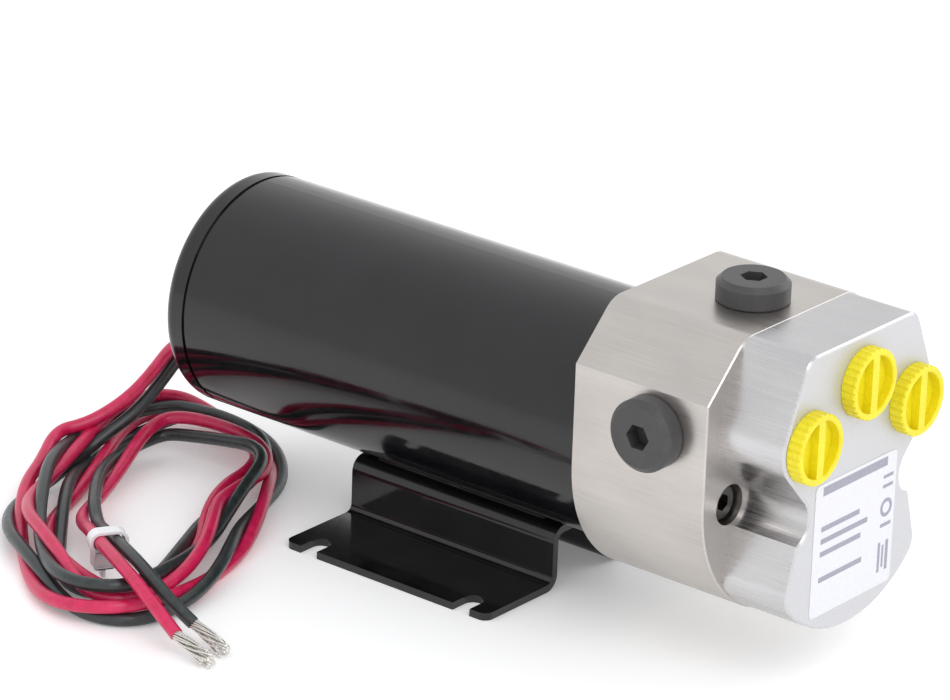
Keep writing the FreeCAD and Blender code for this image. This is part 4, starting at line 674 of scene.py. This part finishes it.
def make_studio():
    """A plain pale floor, a bright even room and two large soft lights."""
    bpy.context.scene.view_settings.view_transform = "Standard"
    mesh = bpy.data.meshes.new("floor")
    corners = [(x * FLOOR_HALF, y * FLOOR_HALF, FLOOR_LEVEL) for x, y in ((-1, -1), (1, -1), (1, 1), (-1, 1))]
    mesh.from_pydata(corners, [], [(0, 1, 2, 3)])
    floor = bpy.data.objects.new("floor", mesh)
    bpy.context.collection.objects.link(floor)
    look = Look("floor", Specular_IOR_Level=0.25, Emission_Color=(1, 1, 1, 1), Emission_Strength=0.16)
    look.paint(look.colour(look.noise(3, detail=2), (0.93, 0.93, 0.93), (0.95, 0.95, 0.95)))
    look.gloss(look.value(look.noise(8, detail=2), 0.5, 0.6))
    mesh.materials.append(look.material)

    world = bpy.data.worlds.new("room")
    bpy.context.scene.world = world
    world.use_nodes = True
    tree = world.node_tree
    light = tree.nodes["Background"]
    split = tree.nodes.new("ShaderNodeSeparateXYZ")
    ramp = tree.nodes.new("ShaderNodeValToRGB")
    tree.links.new(tree.nodes.new("ShaderNodeTexCoord").outputs["Generated"], split.inputs["Vector"])
    tree.links.new(split.outputs["Z"], ramp.inputs["Fac"])
    tree.links.new(ramp.outputs["Color"], light.inputs["Color"])
    ramp.color_ramp.elements[0].color = (1.0, 1.0, 1.0, 1)
    ramp.color_ramp.elements[1].color = (0.92, 0.93, 0.95, 1)
    light.inputs["Strength"].default_value = 1.0

    for name, spot, size, power in LAMPS:
        lamp = bpy.data.lights.new(name, "AREA")
        lamp.shape = "DISK"
        lamp.size = size
        lamp.energy = power
        item = bpy.data.objects.new(name, lamp)
        item.location = spot
        item.rotation_euler = (-Vector(spot)).to_track_quat("-Z", "Y").to_euler()
        bpy.context.collection.objects.link(item)


# ---------------------------------------------------------------- the whole scene

def add(item, look, slot, *nodes):
    """Puts a new piece on the unit with its material, and hides the CAD nodes it stands for. The slot
    argument is not used.
    """
    item.data.materials.append(look)
    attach(item, "unit")
    if nodes:
        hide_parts(*nodes)
    return item


# Each spring, and the joint whose moving piece presses it outwards against its fixed end.
SPRINGS = {"left_check_spring": "left_poppet_slide", "right_check_spring": "right_poppet_slide",
           "left_brush_spring": "left_brush_slide", "right_brush_spring": "right_brush_slide"}


def make_springs(looks):
    """Springs of the CAD's shape, each rebuilt as its own smooth mesh in place of the CAD spring."""
    for node, joint in SPRINGS.items():
        slot = NODES[node].material_slots[0].material.name.split(".")[0]
        shape = bmesh.new()
        shape.from_mesh(NODES[node].data)
        bmesh.ops.remove_doubles(shape, verts=shape.verts, dist=1e-7)
        item = mesh_object(node.replace("spring", "coil_spring"), shape, smooth=True)
        add(item, looks[slot], slot, node)
        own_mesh(item)


def main():
    """Builds every piece, its finish, the camera and the studio."""
    looks = make_materials()
    place_camera()
    red_lead, black_lead = make_leads()
    add(red_lead, looks["lead_red"], "lead_red", "red_lead_run", "lead_coil", "red_lead_tail")
    add(black_lead, looks["lead_black"], "lead_black", "black_lead_run", "lead_coil", "black_lead_tail")
    tie = add(make_tie(), looks["tie_nylon"], "tie_nylon", "cable_tie")
    red_end = add(strand_bundle("red_lead_strands", RED_TAIL[-1], RED_END, 3),
                  looks["tinned_copper"], "tinned_copper", "red_strands")
    black_end = add(strand_bundle("black_lead_strands", BLACK_TAIL[-1], BLACK_END, 8),
                    looks["tinned_copper"], "tinned_copper", "black_strands")
    add(make_print(), looks["label_ink"], "label_film")
    make_springs(looks)
    dress_nodes(looks)
    make_studio()


main()
bpy.context.view_layer.update()
